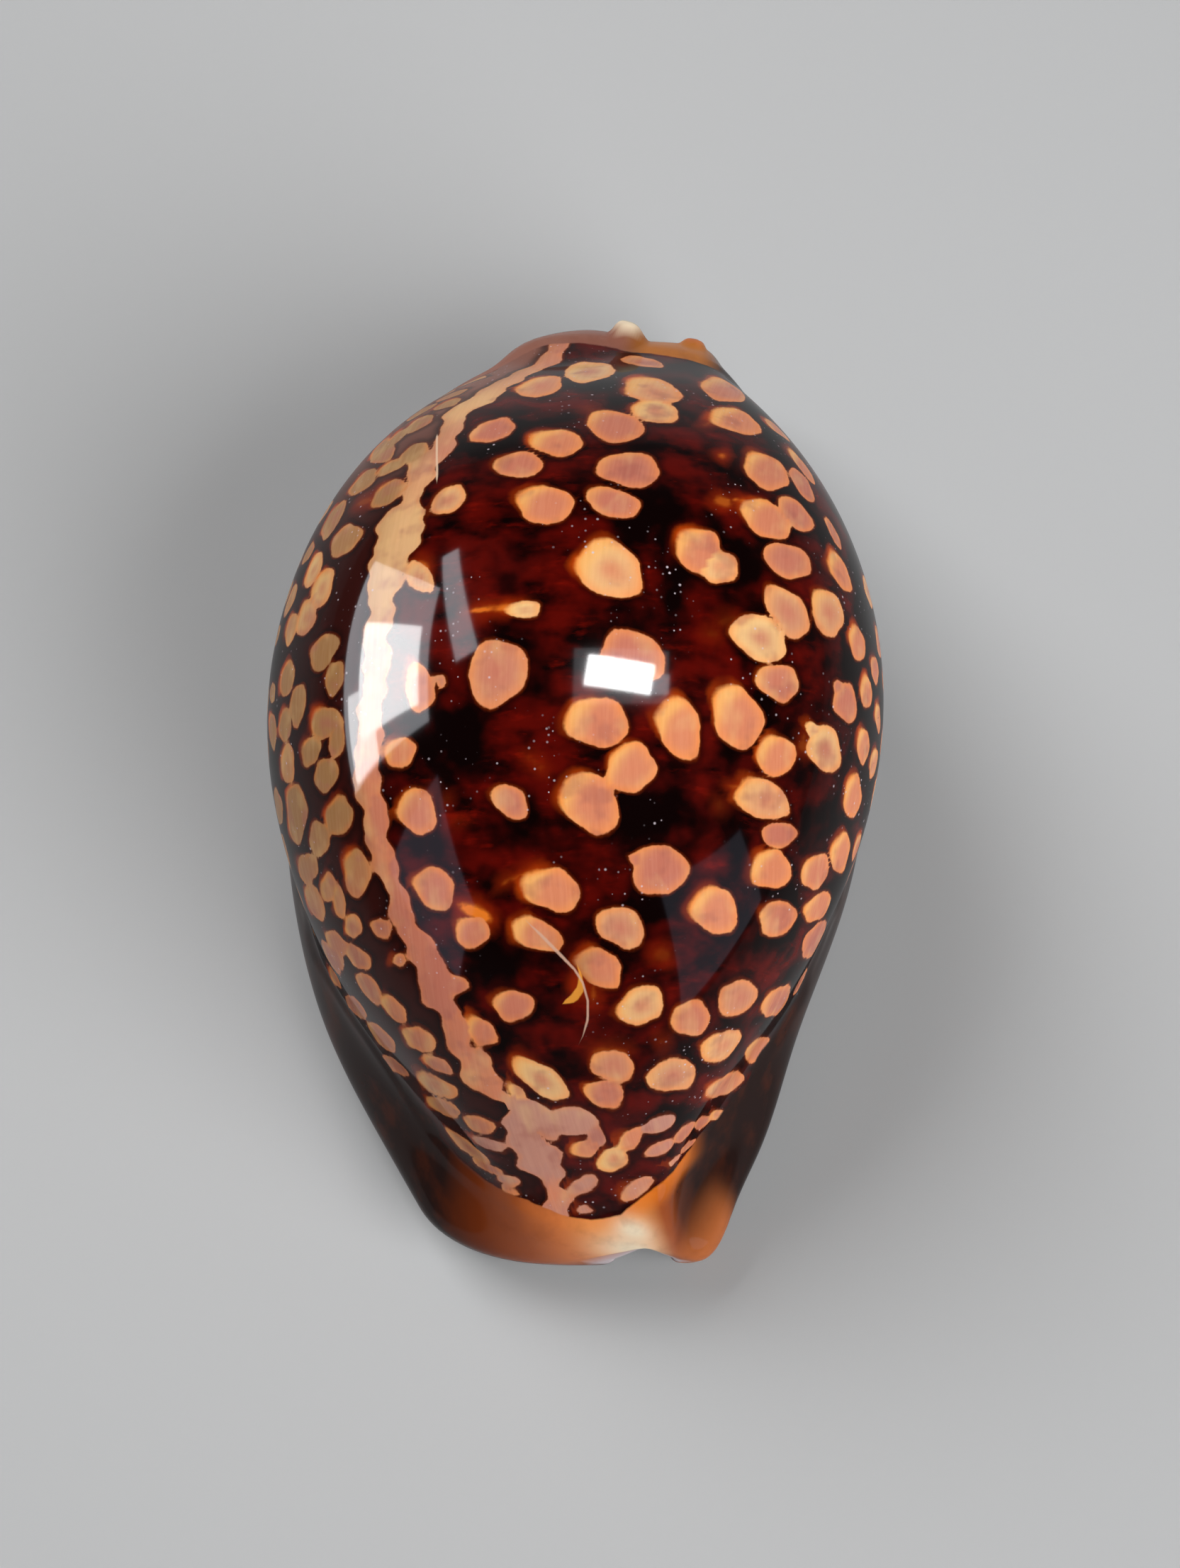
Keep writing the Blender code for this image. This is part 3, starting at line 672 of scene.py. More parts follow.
def scatter_spots(marks, taken, seed):
    """Scatter spots over the bare zones, clear of those already there and of each other."""
    random = np.random.default_rng(seed)
    bare = np.zeros(GIRTH.shape, bool)
    for girth_from, girth_to, along_from, along_to in BARE_ZONES:
        in_girth = (GIRTH > girth_from) & (GIRTH < girth_to)
        bare |= in_girth & (ALONG > along_from) & (ALONG < along_to)
    rows, columns = np.nonzero(bare & (PATTERN > SCATTER_INSIDE))
    centres = [GRID[nearest(spot[0], spot[1])] for spot in taken]
    sizes = [max(spot[2], spot[3]) for spot in taken]
    for _ in range(SCATTER_TRIES):
        pick = random.integers(len(rows))
        place = rows[pick], columns[pick]
        scale = SCATTER_SCALE[-1 if GIRTH[place] < 0 else 1]
        half_length = random.uniform(*SCATTER_LENGTH) * scale
        half_width = half_length * random.uniform(*SCATTER_ROUNDNESS)
        turn = random.uniform(*SCATTER_TURN)
        tone = random.uniform(*SCATTER_TONE) ** TONE_POWER
        gap = random.uniform(*SCATTER_GAP) * scale
        centre = GRID[place]
        away = np.linalg.norm(np.array(centres) - centre, axis=1)
        if np.any(away < half_length + gap + np.array(sizes)):
            continue
        centres.append(centre)
        sizes.append(half_length)
        around = np.cross(NORMALS[place], (0, 1, 0))
        around /= np.linalg.norm(around)
        if around[0] < 0:
            around = -around
        lengthways = np.cross(NORMALS[place], around)
        if lengthways[1] < 0:
            lengthways = -lengthways
        offset = GRID - centre
        depth = np.abs(offset @ NORMALS[place])
        across = np.where(depth < SCATTER_DEPTH, offset @ around, FAR)
        marks.add(across, offset @ lengthways, half_length, half_width, turn, tone)


def near_place(girth, along, across, lengthways):
    """1 at a girth and an along, falling away over a reach in each."""
    away = ((GIRTH - girth) / across) ** 2 + ((ALONG - along) / lengthways) ** 2
    return np.exp(-away)


def from_thread(thread):
    """Every point's distance off a thread, signed by its side, and its place on it, 0 to 1."""
    best = np.full(GIRTH.shape, FAR)
    sided = np.full(GIRTH.shape, FAR)
    place = np.zeros(GIRTH.shape)
    for index, (start, end) in enumerate(zip(thread[:-1], thread[1:])):
        share, away, side = on_segment(start, end)
        nearer = away < best
        best = np.where(nearer, away, best)
        sided = np.where(nearer, away * side, sided)
        place = np.where(nearer, (index + share) / (len(thread) - 1), place)
    return sided, place


def taper(place, start, end):
    """1 along a thread, falling to 0 over its first share up to start and its last from end."""
    return ramp(place, 0.0, start) * ramp(-place, -1.0, -end)


pale = Marks(seed=11)
for spot in BACK_SPOTS + FLANK_SPOTS:
    pale.add_spot(spot)
scatter_spots(pale, BACK_SPOTS + FLANK_SPOTS, seed=5)
line_girths, line_alongs = np.array(MANTLE_LINE[::-1])[:, :2].T
beyond_line = ramp(np.interp(ALONG, line_alongs, line_girths) - GIRTH, -0.5, 2.5) * is_outside
pale.inside += FLANK_SWELL * beyond_line * (0.45 + 0.55 * ramp(ALONG, -17, -9))
pale.add_line(MANTLE_LINE)
amber = Marks(seed=3)
for mark in AMBER_MARKS:
    amber.add_spot(mark)

thread, thread_place = from_thread(SCAR_THREAD)
crescent, crescent_place = from_thread(SCAR_CRESCENT)
scratch, scratch_place = from_thread(SCRATCH)
thread_width = THREAD_WIDTH * taper(thread_place, 0.15, 0.75)
thread_width += THREAD_SWELL * np.exp(-((thread_place - 0.2) / 0.12) ** 2)
crescent_width = CRESCENT_WIDTH * np.sin(pi * crescent_place ** 1.6) ** 0.7
scratch_width = SCRATCH_WIDTH * taper(scratch_place, 0.1, 0.8)
# Painted light round the scar's crescent.
glow = ramp(-np.hypot(GIRTH - SCAR_PAINTED_LIGHT[0], ALONG - SCAR_PAINTED_LIGHT[1]), -1.5, -0.2)
stain = near_place(*SCAR_STAIN) * ramp(-thread, -0.2, 0.1)

# ---------------------------------------------------------------- colours


def paint(red, green, blue):
    """A display colour of 0 to 255 as a linear colour."""
    shares = np.array([red, green, blue]) / 255
    return np.where(shares <= 0.04045, shares / 12.92, ((shares + 0.055) / 1.055) ** 2.4)


# ground, and amber where the pale layer over it thins out
NIGHT_BROWN = paint(11, 2, 2)
MAROON = paint(88, 9, 4)
GARNET = paint(132, 18, 6)
FLANK_BROWN = paint(58, 15, 9)
AMBER = paint(204, 76, 12)
RUSSET = paint(146, 38, 6)
EMBER = paint(238, 126, 38)
# pale spots and line
ROSE = paint(202, 118, 96)
PINK = paint(226, 137, 98)
MAUVE = paint(172, 98, 86)
PEACH = paint(250, 152, 84)
APRICOT = paint(253, 186, 106)
CREAM = paint(253, 216, 146)
RIM_ORANGE = paint(246, 138, 50)
OLIVE_TAN = paint(164, 118, 72)
LILAC = paint(196, 142, 126)
LINE_PALE = paint(244, 196, 166)
LINE_ROSE = paint(168, 104, 92)
# scars and dust
THREAD_PALE = paint(216, 172, 148)
# The crescent's gold is partly the scar's own golden edge and partly painted highlight.
CRESCENT_GOLD = paint(240, 160, 62)
SCRATCH_PALE = paint(240, 204, 172)
STAIN_BROWN = paint(74, 18, 8)
DUST = paint(222, 206, 214)
# margins and ends
MARGIN_BROWN = paint(36, 21, 18)
UMBER = paint(84, 42, 26)
RUST_BROWN = paint(108, 44, 12)
DEEP_CARAMEL = paint(156, 76, 34)
CARAMEL = paint(206, 116, 62)
HONEY = paint(244, 158, 88)
TIP_CREAM = paint(250, 228, 196)
SPIRE_BLUSH = paint(164, 106, 88)
SPIRE_AMBER = paint(188, 112, 44)
# underside and hollow
BASE_BROWN = paint(46, 24, 17)
TOOTH_GAP = paint(198, 176, 150)
HOLLOW = paint(196, 182, 186)

# Colours of the glaze across the front end, by girth; the quick darkening just past the tip, on the
# pillar lip's side, is partly painted shade on the shadowed side of the notch
FRONT_GLAZE = {
    -17.5: MARGIN_BROWN, -13.5: RUST_BROWN, -9.3: DEEP_CARAMEL, -5.7: CARAMEL, -2.4: HONEY,
    0.8: HONEY, 3.2: DEEP_CARAMEL, 6.5: UMBER, 11.0: MARGIN_BROWN,
}
# Cream touches on the front end: girth, along, and reach in each
CREAM_TOUCHES = ((-1.0, -40.2, 2.6, 1.2), (0.2, -38.6, 1.5, 0.9))
# What shows of the buried spire: place, height and radius of each bump
APEX = ((4.6, 38.2, 15.8), 1.5, 1.4)
WHORL_END = ((10.2, 38.2, 15.0), 0.6, 1.0)
SPIRE_BUMPS = (APEX, WHORL_END, ((-1.0, 38.4, 14.8), 1.1, 5.5))


def lay(colour, *layers):
    """Lay colours over a colour, each by its share at every point."""
    for share, over in layers:
        colour = colour * (1 - share[..., None]) + over * share[..., None]
    return colour


# The numbers of a ramp are mm of girth, of length, of height or of distance inside an edge.
# Those of a mark's tone, blush, lit side and way out, and of a layer's strength, are shares.

# spots and line
tanned = ramp(ALONG, -20, -6) * (0.85 - 0.6 * ramp(pale.tone, 0.5, 0.9))
tint = lay(
    ROSE,
    (ramp(pale.blush, 0.2, 0.9), PINK),
    # Painted highlight: where pale.lit raises the cream, apricot and rim orange on each spot's lit
    # side; the rest of the tint is the spots' own colour.
    (ramp(pale.tone, 0.3, 1.0) * ramp(pale.out + 0.5 * pale.lit, -0.2, 0.9), CREAM),
    ((0.45 + 0.4 * pale.blush) * ramp(pale.out, 0.5, 0.98), PEACH),
    (0.85 * ramp(pale.out, 0.1, 0.7) * ramp(pale.lit, 0.05, 0.5), APRICOT),
    (0.6 * ramp(pale.out, 0.75, 1.0) * ramp(pale.lit, 0.0, 0.7), RIM_ORANGE),
    ((0.15 + tanned) * beyond_line, OLIVE_TAN),
    (0.8 * ramp(-ALONG, 24, 30) * ramp(0.35 - pale.tone, 0.0, 0.25), LILAC),
)

# ground, and how much more maroon it is than elsewhere
ground = lay(
    NIGHT_BROWN,
    (0.75 * beyond_line * ramp(GIRTH, -34, -17), FLANK_BROWN),
    (0.6 * beyond_line * ramp(ALONG, 14, 34), SPIRE_BLUSH),
)
maroon = 0.07 * near_place(-2, 5, 13, 11) + 0.10 * near_place(1, -31, 8, 6)
maroon -= 0.2 * beyond_line + 0.2 * ramp(GIRTH, 22, 34)

# margins of the two ends
front = ramp(-ALONG, 24, 33)
glaze_stops = np.array(list(FRONT_GLAZE.values()))
glaze = [np.interp(GIRTH, list(FRONT_GLAZE), stops) for stops in glaze_stops.T]
lobe_foot = front * ramp(GIRTH, 2, 6) * ramp(-GIRTH, -16, -11) * ramp(-HEIGHT, -9, -6)
# Painted highlight: a thin orange rim where the front end's glaze meets the pattern.
painted_edge_highlight = front * ramp(PATTERN, -1.3, 0.0) * ramp(GIRTH, -6, 1) * ramp(-GIRTH, -16, -9)
spire = ramp(ALONG, 24, 34)
blushing = spire * ramp(-GIRTH, -1, 2) * ramp(GIRTH, -32, -12) * ramp(HEIGHT, 8, 15)
golden = spire * ramp(GIRTH, -2, 1) * ramp(HEIGHT, 11, 14) * ramp(-GIRTH, -9, -5)
margin = lay(
    MARGIN_BROWN,
    (front, np.stack(glaze, axis=-1)),
    (0.7 * lobe_foot, CARAMEL),
    (0.8 * painted_edge_highlight, EMBER),
    (0.8 * blushing, SPIRE_BLUSH),
    (golden, SPIRE_AMBER),
)
for touch in CREAM_TOUCHES:
    share = np.clip(1.1 * near_place(*touch) * is_outside, 0, 1)
    margin = lay(margin, (share, TIP_CREAM))
for (place, _, radius), colour in ((APEX, TIP_CREAM), (WHORL_END, CARAMEL)):
    away = np.linalg.norm(GRID - place, axis=2)
    margin = lay(margin, (ramp(-away, -1.1 * radius, -0.5 * radius), colour))

# base, teeth and hollow
underside = ramp(-NORMALS[:, :, 2], 0.3, 0.9) * ramp(-HEIGHT, -5.0, -2.5) * is_outside
tooth_band = ramp(-from_lip, -5.2, -2.0) * is_outside * ramp(-HEIGHT, -6, -4) * toothed
tooth_gaps = tooth_band * ramp(1 - wave, 0.35, 0.8)
margin = lay(margin, (underside, BASE_BROWN), (tooth_gaps, TOOTH_GAP))
margin = np.where(is_outside[..., None], margin, HOLLOW)

# ---------------------------------------------------------------- relief

EDGE_STEP = 0.28            # thickness of the margins' glaze where it ends on the pattern
THREAD_HEIGHT = 0.12
CRESCENT_DEPTH = 0.10
GROOVE_DEPTH = 0.55         # of the grooves between the teeth, on the base

relief = EDGE_STEP * ramp(-PATTERN, -0.1, 0.7) * ramp(HEIGHT, 5, 10) * is_outside
relief *= ramp(HALF_LENGTH - np.abs(GRID[:, :, 1]), 0.2, 2.5)
relief += THREAD_HEIGHT * ramp(-np.abs(thread), -0.4, 0) * ramp(thread_width, 0.0, 0.1)
relief -= CRESCENT_DEPTH * ramp(-np.abs(crescent), -0.7, 0) * ramp(crescent_width, 0.0, 0.2)
for place, height, radius in SPIRE_BUMPS:
    relief += height * np.exp(-(np.linalg.norm(GRID - place, axis=2) / radius) ** 4)
places = GRID + NORMALS * relief[..., None]
grooved = ramp(-from_lip, -5.5, -1.5) * is_outside * ramp(-HEIGHT, -2.5, -0.8) * toothed
places[:, :, 2] += GROOVE_DEPTH * (1 - wave) * grooved
places = np.clip(places, np.array(shell_low) / MM, np.array(shell_high) / MM)

# ---------------------------------------------------------------- the mesh

WELD = 1e-7                 # metres within which the wrapped grid's two edges are joined


def build_shell():
    """Wrap a grid round the shell, weld it along the outer lip and cap its two ends."""
    rings, ring_size = places.shape[:2]
    bm = bmesh.new()
    number = bm.verts.layers.int.new("number")
    bmesh.ops.create_grid(bm, x_segments=ring_size, y_segments=rings - 1, size=1.0)
    for index, vert in enumerate(bm.verts):
        row, column = divmod(index, ring_size + 1)
        column %= ring_size
        vert[number] = row * ring_size + column
        vert.co = places[row, column] * MM
    bmesh.ops.remove_doubles(bm, verts=[v for v in bm.verts if v.is_boundary], dist=WELD)
    for end in (-1, 1):
        rim = [e for e in bm.edges if e.is_boundary and e.verts[0].co.y * end > 0]
        cap = bmesh.ops.contextual_create(bm, geom=rim)["faces"]
        bmesh.ops.triangulate(bm, faces=cap)
    bmesh.ops.recalc_face_normals(bm, faces=bm.faces[:])
    mesh = bpy.data.meshes.new("cowrie_shell")
    bm.to_mesh(mesh)
    bm.free()
    mesh.shade_smooth()
    return mesh


def write_field(mesh, order, name, values):
    """Store one value, or one colour or vector, for every point of the mesh."""
    flat = values.reshape(len(order), -1)[order].astype(np.float32)
    kind, key = ("FLOAT", "value") if flat.shape[1] == 1 else ("FLOAT_VECTOR", "vector")
    attribute = mesh.attributes.new(name, kind, "POINT")
    attribute.data.foreach_set(key, flat.ravel())


FIELDS = {
    "ground": ground,
    "margin": margin,
    "tint": tint,
    "marks": np.stack([pale.inside, amber.inside, PATTERN], axis=-1),
    # Painted light: share of each point on a spot's lit side, where the finish paints the spot
    # paler and softer edged and the ground beside it brighter.
    "softness": ramp(pale.lit, 0.1, 0.8),
    "maroon": maroon,
    "flow": np.stack([GIRTH, ALONG, np.zeros(GIRTH.shape)], axis=-1),
    "amber_strength": amber.tone,
    "scars": np.stack([thread, crescent, scratch], axis=-1),
    "scar_widths": np.stack([thread_width, crescent_width, scratch_width], axis=-1),
    "stain": stain,
    "glow": glow,
}
mesh = build_shell()
order = np.zeros(len(mesh.vertices), np.int32)
mesh.attributes["number"].data.foreach_get("value", order)
mesh.attributes.remove(mesh.attributes["number"])
for name, values in FIELDS.items():
    write_field(mesh, order, name, values)

# ---------------------------------------------------------------- the finish

EDGE_WAVES = 0.45           # how much the edges wander, in mm, in waves and in ripples
EDGE_RIPPLES = 0.09
EDGE_INSET = 0.09           # how far the pale layer ends inside its marks
EDGE_BLUR = 0.09            # width of the pale layer's edge, and what a lit side adds to it
LIT_BLUR = 0.25
PORE_DEPTH = 0.02           # of the pores in the glaze, in mm
GRAINS_PER_MM = 2.0         # places for a grain of dust
# Numbers of a Mix node's inputs and output for colours
MIX_SHARE = 0
MIX_COLOURS = (6, 7)
MIX_RESULT = 2
# Inputs of the shader that are the same all over
GLAZE = {
    "IOR": 1.5, "Specular IOR Level": 0.0,
    "Coat Weight": 0.5, "Coat Roughness": 0.06, "Coat IOR": 1.38,
}
# Noise patterns: stretch of the places they are laid on, scale, detail, roughness and offset
NOISES = {
    "edge waves": (None, 0.7, 2.0, 0.5, 0),
    "edge ripples": (None, 3.2, 2.0, 0.5, 9),
    "ground clouds": ((1.0, 0.8, 1.0), 0.19, 3.0, 0.5, 4),
    "ground mottle": ((0.7, 1.2, 1.0), 0.42, 3.0, 0.5, 13),
    "ground wisps": ((0.30, 0.95, 1.0), 1.0, 4.0, 0.6, 17),
    "amber patches": (None, 0.33, 1.0, 0.5, 2),
    "pale blotches": (None, 0.42, 2.0, 0.5, 61),
    "pale lines": ((3.4, 0.22, 1.0), 1.0, 3.0, 0.6, 0),
    "pale streaks": ((0.5, 0.35, 1.0), 1.0, 2.0, 0.5, 7),
    "rim patches": (None, 0.4, 2.0, 0.5, 41),
    "margin clouds": ((1.0, 0.5, 1.0), 0.45, 3.0, 0.6, 51),
    "dusty places": (None, 0.13, 2.0, 0.5, 31),
    "haze": (None, 0.5, 3.0, 0.5, 15),
    "pores": (None, 2.6, 3.0, 0.6, 21),
    "paper grain": (None, 40.0, 3.0, 0.5, 0),
}


class Wire:
    """A socket of a node tree; arithmetic on it adds Math nodes."""

    def __init__(self, tree, socket):
        self.tree = tree
        self.socket = socket

    def other(self, output):
        """Another output of the same node."""
        return Wire(self.tree, self.socket.node.outputs[output])

    def math(self, operation, *values, swap=False):
        """Result of a Math node on this socket and the values, in that order or swapped."""
        sides = [self, *values]
        if swap:
            sides.reverse()
        return self.tree.add("Math", {"operation": operation}, dict(enumerate(sides)))

    def __add__(self, other):
        return self.math("ADD", other)

    def __sub__(self, other):
        return self.math("SUBTRACT", other)

    def __rsub__(self, other):
        return self.math("SUBTRACT", other, swap=True)

    def __mul__(self, other):
        return self.math("MULTIPLY", other)

    def __truediv__(self, other):
        return self.math("DIVIDE", other)

    def __rtruediv__(self, other):
        return self.math("DIVIDE", other, swap=True)

    def __neg__(self):
        return self.math("MULTIPLY", -1.0)

    __radd__ = __add__
    __rmul__ = __mul__


class NodeTree:
    """The nodes of a material or a world."""

    def __init__(self, owner, shader):
        owner.use_nodes = True
        self.owner = owner
        self.nodes = owner.node_tree.nodes
        self.links = owner.node_tree.links
        self.shader = self.nodes[shader]

    def feed(self, socket, value):
        """Link or set an input."""
        if isinstance(value, Wire):
            self.links.new(value.socket, socket)
        else:
            socket.default_value = value

    def add(self, kind, settings=None, inputs=None, output=0):
        """Add a node of a kind, with its settings and inputs, and return one of its outputs."""
        node = self.nodes.new("ShaderNode" + kind)
        for name, value in (settings or {}).items():
            setattr(node, name, value)
        for key, value in (inputs or {}).items():
            self.feed(node.inputs[key], value)
        return Wire(self, node.outputs[output])

    def field(self, name, part="Fac"):
        """One of the mesh's fields, as a number, a colour or a vector."""
        return self.add("Attribute", {"attribute_name": name}, output=part)

    def ramp(self, value, low, high, to_low=0.0, to_high=1.0):
        """Smooth step of a value from to_low at low to to_high at high."""
        inputs = {"Value": value, "From Min": low, "From Max": high}
        inputs.update({"To Min": to_low, "To Max": to_high})
        return self.add("MapRange", {"interpolation_type": "SMOOTHSTEP"}, inputs)

    def mix(self, share, under, over):
        """Mix two colours, linked or written."""
        sides = {MIX_SHARE: share}
        for key, colour in zip(MIX_COLOURS, (under, over)):
            sides[key] = colour if isinstance(colour, Wire) else (*colour, 1.0)
        settings = {"data_type": "RGBA", "clamp_factor": True}
        return self.add("Mix", settings, sides, output=MIX_RESULT)

    def layers(self, colour, *layers):
        """Lay colours over a colour, each by its share."""
        for share, over in layers:
            colour = self.mix(share, colour, over)
        return colour

    def stretch(self, vector, scale):
        """Multiply each part of a vector by its own scale."""
        return self.add("VectorMath", {"operation": "MULTIPLY"}, {0: vector, 1: scale})

    def noise(self, vector, name):
        """One of the noise patterns, laid on a vector."""
        stretch, scale, detail, roughness, offset = NOISES[name]
        if stretch:
            vector = self.stretch(vector, stretch)
        moved = self.add("VectorMath", {"operation": "ADD"}, {0: vector, 1: (offset,) * 3})
        inputs = {"Vector": moved, "Scale": scale, "Detail": detail, "Roughness": roughness}
        return self.add("TexNoise", {}, inputs)

    def parts(self, vector):
        """The three numbers of a vector or colour."""
        whole = self.add("SeparateXYZ", {}, {0: vector})
        return [whole.other(part) for part in "XYZ"]


# A ramp on an edge starts and ends at mm inside it, and one on a noise at values of 0 to 1.


def ground_colour(tree, place, flow, edge, wander, lit_side_share):
    """Dark ground with maroon clouds and wisps, amber where the pale layer thins out, and painted
    light and shade round the spots.
    """
    clouds = tree.noise(place, "ground clouds")
    cloudy = tree.ramp(clouds + tree.field("maroon"), 0.40, 0.62)
    mottled = tree.ramp(tree.noise(place, "ground mottle"), 0.28, 0.64)
    wisps = tree.ramp(tree.noise(flow, "ground wisps"), 0.54, 0.76)
    patchy = tree.ramp(tree.noise(place, "amber patches"), 0.36, 0.62)
    # The amber halo round each spot is the shell's own, made stronger on the spot's lit side as
    # painted light.
    halo = tree.ramp(edge, -0.30 - lit_side_share * 0.55, 0.12) * (0.24 + lit_side_share * patchy * 0.65)
    amber_in = tree.parts(tree.field("marks", "Vector"))[1]
    strength = tree.field("amber_strength")
    smear = tree.ramp(amber_in + wander * 1.5, -0.8, 0.6) * strength * 0.8
    ember = tree.ramp(amber_in + wander * 1.2, -0.1, 0.75) * strength
    return tree.layers(
        tree.field("ground", "Color"),
        (cloudy * mottled, MAROON),
        (wisps * cloudy * 0.55, GARNET),
        # Painted shade: the ground is darkened beside each spot away from its lit side; painted
        # light: a maroon glow beside it on the lit side.
        (tree.ramp(edge, -0.9, 0.05) * (0.75 - lit_side_share), NIGHT_BROWN),
        (tree.ramp(edge, -1.3, 0.1) * lit_side_share * 0.7, MAROON),
        (halo, AMBER),
        (smear, RUSSET),
        (ember * ember * ember, EMBER),
    )


def pale_layer_colour(tree, place, flow, edge, lit_side_share):
    """Colour of the pale layer, with blotches, fine lines along the shell and cloudy streaks, and
    an orange rim that is stronger on the lit side as painted highlight.
    """
    lines = tree.noise(flow, "pale lines")
    rim = tree.ramp(edge, 0.55, 0.05) * tree.ramp(tree.noise(place, "rim patches"), 0.35, 0.65)
    return tree.layers(
        tree.field("tint", "Color"),
        (tree.ramp(tree.noise(place, "pale blotches"), 0.50, 0.72) * 0.5, MAUVE),
        (tree.ramp(lines, 0.35, 0.72) * 0.08, LINE_PALE),
        (tree.ramp(lines, 0.62, 0.30) * 0.07, LINE_ROSE),
        (tree.ramp(tree.noise(flow, "pale streaks"), 0.48, 0.76) * 0.22, CREAM),
        # The orange rim is the spots' own, made stronger on their lit side as painted highlight.
        (rim * (0.22 + lit_side_share * 0.55), RIM_ORANGE),
    )


def add_scars(tree, colour):
    """Draw the growth scar, with painted light round its crescent, and the scratch over a colour.
    """
    colour = tree.mix(tree.field("stain") * 0.8, colour, STAIN_BROWN)
    # Painted light: a russet glow round the scar's crescent; the crescent's gold below is partly
    # painted highlight.
    colour = tree.mix(tree.field("glow") * 0.7, colour, RUSSET)
    offs = tree.parts(tree.field("scars", "Vector"))
    widths = tree.parts(tree.field("scar_widths", "Vector"))
    scars = list(zip(offs, widths, (THREAD_PALE, CRESCENT_GOLD, SCRATCH_PALE)))
    for off, width, scar_colour in reversed(scars):
        inside = width - off.math("ABSOLUTE")
        colour = tree.mix(tree.ramp(inside, 0.0, 0.12) * 0.85, colour, scar_colour)
    return colour


def shell_finish():
    """Glazed shell: pale spots and line in a dark ground, with the margins' glaze over both."""
    tree = NodeTree(bpy.data.materials.new("glazed_shell"), "Principled BSDF")
    place = tree.stretch(tree.add("TexCoord", output="Object"), (1 / MM,) * 3)
    flow = tree.field("flow", "Vector")
    # Painted light: each spot's lit side, which also widens the blur of its edge.
    lit_side_share = tree.field("softness")
    pale_in, _, pattern_in = tree.parts(tree.field("marks", "Vector"))

    # edges wander a little, in two sizes
    waves = (tree.noise(place, "edge waves") - 0.5) * EDGE_WAVES
    wander = waves + (tree.noise(place, "edge ripples") - 0.5) * EDGE_RIPPLES
    edge = pale_in + wander - EDGE_INSET
    in_pattern = tree.ramp(pattern_in + wander * 0.5, -0.05, 0.10)
    pale_share = tree.ramp(edge / (EDGE_BLUR + lit_side_share * LIT_BLUR), -0.7, 0.8)

    rusty = tree.ramp(tree.noise(place, "margin clouds"), 0.45, 0.75) * 0.22
    margin = tree.mix(rusty, tree.field("margin", "Color"), RUST_BROWN)
    ground = ground_colour(tree, place, flow, edge, wander, lit_side_share)
    pale_colour = pale_layer_colour(tree, place, flow, edge, lit_side_share)
    colour = tree.mix(in_pattern, margin, tree.mix(pale_share, ground, pale_colour))
    colour = add_scars(tree, colour)

    # dust in the pores of the glaze
    grain_off = tree.add("TexVoronoi", {}, {"Vector": place, "Scale": GRAINS_PER_MM}, "Distance")
    grain_pick, grain_size, grain_tone = tree.parts(grain_off.other("Color"))
    dusty = tree.ramp(tree.noise(place, "dusty places"), 0.48, 0.6)
    grain = tree.ramp(grain_off, 0.10 + grain_size * 0.22, 0.05)
    grain = grain * tree.ramp(grain_pick, 0.55, 0.6) * dusty
    colour = tree.mix(grain * (0.2 + grain_tone * 0.8) * in_pattern, colour, DUST)

    inputs = tree.shader.inputs
    tree.feed(inputs["Base Color"], colour)
    tree.feed(inputs["Roughness"], 0.24 + tree.noise(place, "haze") * 0.16 + grain * 0.3)
    pores = tree.noise(place, "pores") + grain * 0.8
    bump = {"Strength": 0.25, "Distance": PORE_DEPTH * MM, "Height": pores}
    tree.feed(inputs["Normal"], tree.add("Bump", {}, bump))
    for name, value in GLAZE.items():
        inputs[name].default_value = value
    return tree.owner


shell = bpy.data.objects.new("cowrie_shell", mesh)
bpy.context.scene.collection.objects.link(shell)
mesh.materials.append(shell_finish())
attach(shell, "root")
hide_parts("shell")

# ---------------------------------------------------------------- camera, lights and floor

VIEW_ELEVATION = radians(77)
VIEW_DISTANCE = 0.300
AIM_OFFSET = Vector((1.2, -1.75, -3.2)) * MM    # point looked at, from the shell's middle
FRAME_TALL = 24.97          # degrees that the frame covers from top to bottom
FILM = 36.0                 # width of the film in mm

WHITE = (1.0, 1.0, 1.0)
COOL = (0.92, 0.94, 1.0)
DUSK = (0.86, 0.78, 1.0)
EVENING = (0.74, 0.80, 1.0)
ROOM = (0.94, 0.97, 1.0)
ROOM_LOW = 0.16             # brightness of the room at the horizon and overhead
ROOM_HIGH = 0.03
ROOM_RISE = 0.5             # height of the direction at which it is as dim as overhead
FLOOR_HALF_SIZE = 2.0
# The floor's colour is painted pale near the shell and darker away from it: a painted pool of light
# round the shell.
FLOOR_NEAR = (0.50, 0.505, 0.51)
FLOOR_FAR = (0.27, 0.275, 0.28)
FLOOR_GRAIN = (0.5, 0.5, 0.5)
GRAIN_SHARE = 0.12
DIMMING = (0.06, 0.35)      # distances over which the floor dims, and over which it then
FADING = (0.35, 1.1)        # takes the room's brightness

# Soft lamps that light things: place, size and brightness
SOFT_LAMPS = {
    "key": ((0.66, -0.48, 0.62), (0.9, 0.9), 4.3),
    "fill": ((-0.50, 0.50, 0.72), (0.6, 0.6), 6.8),
}
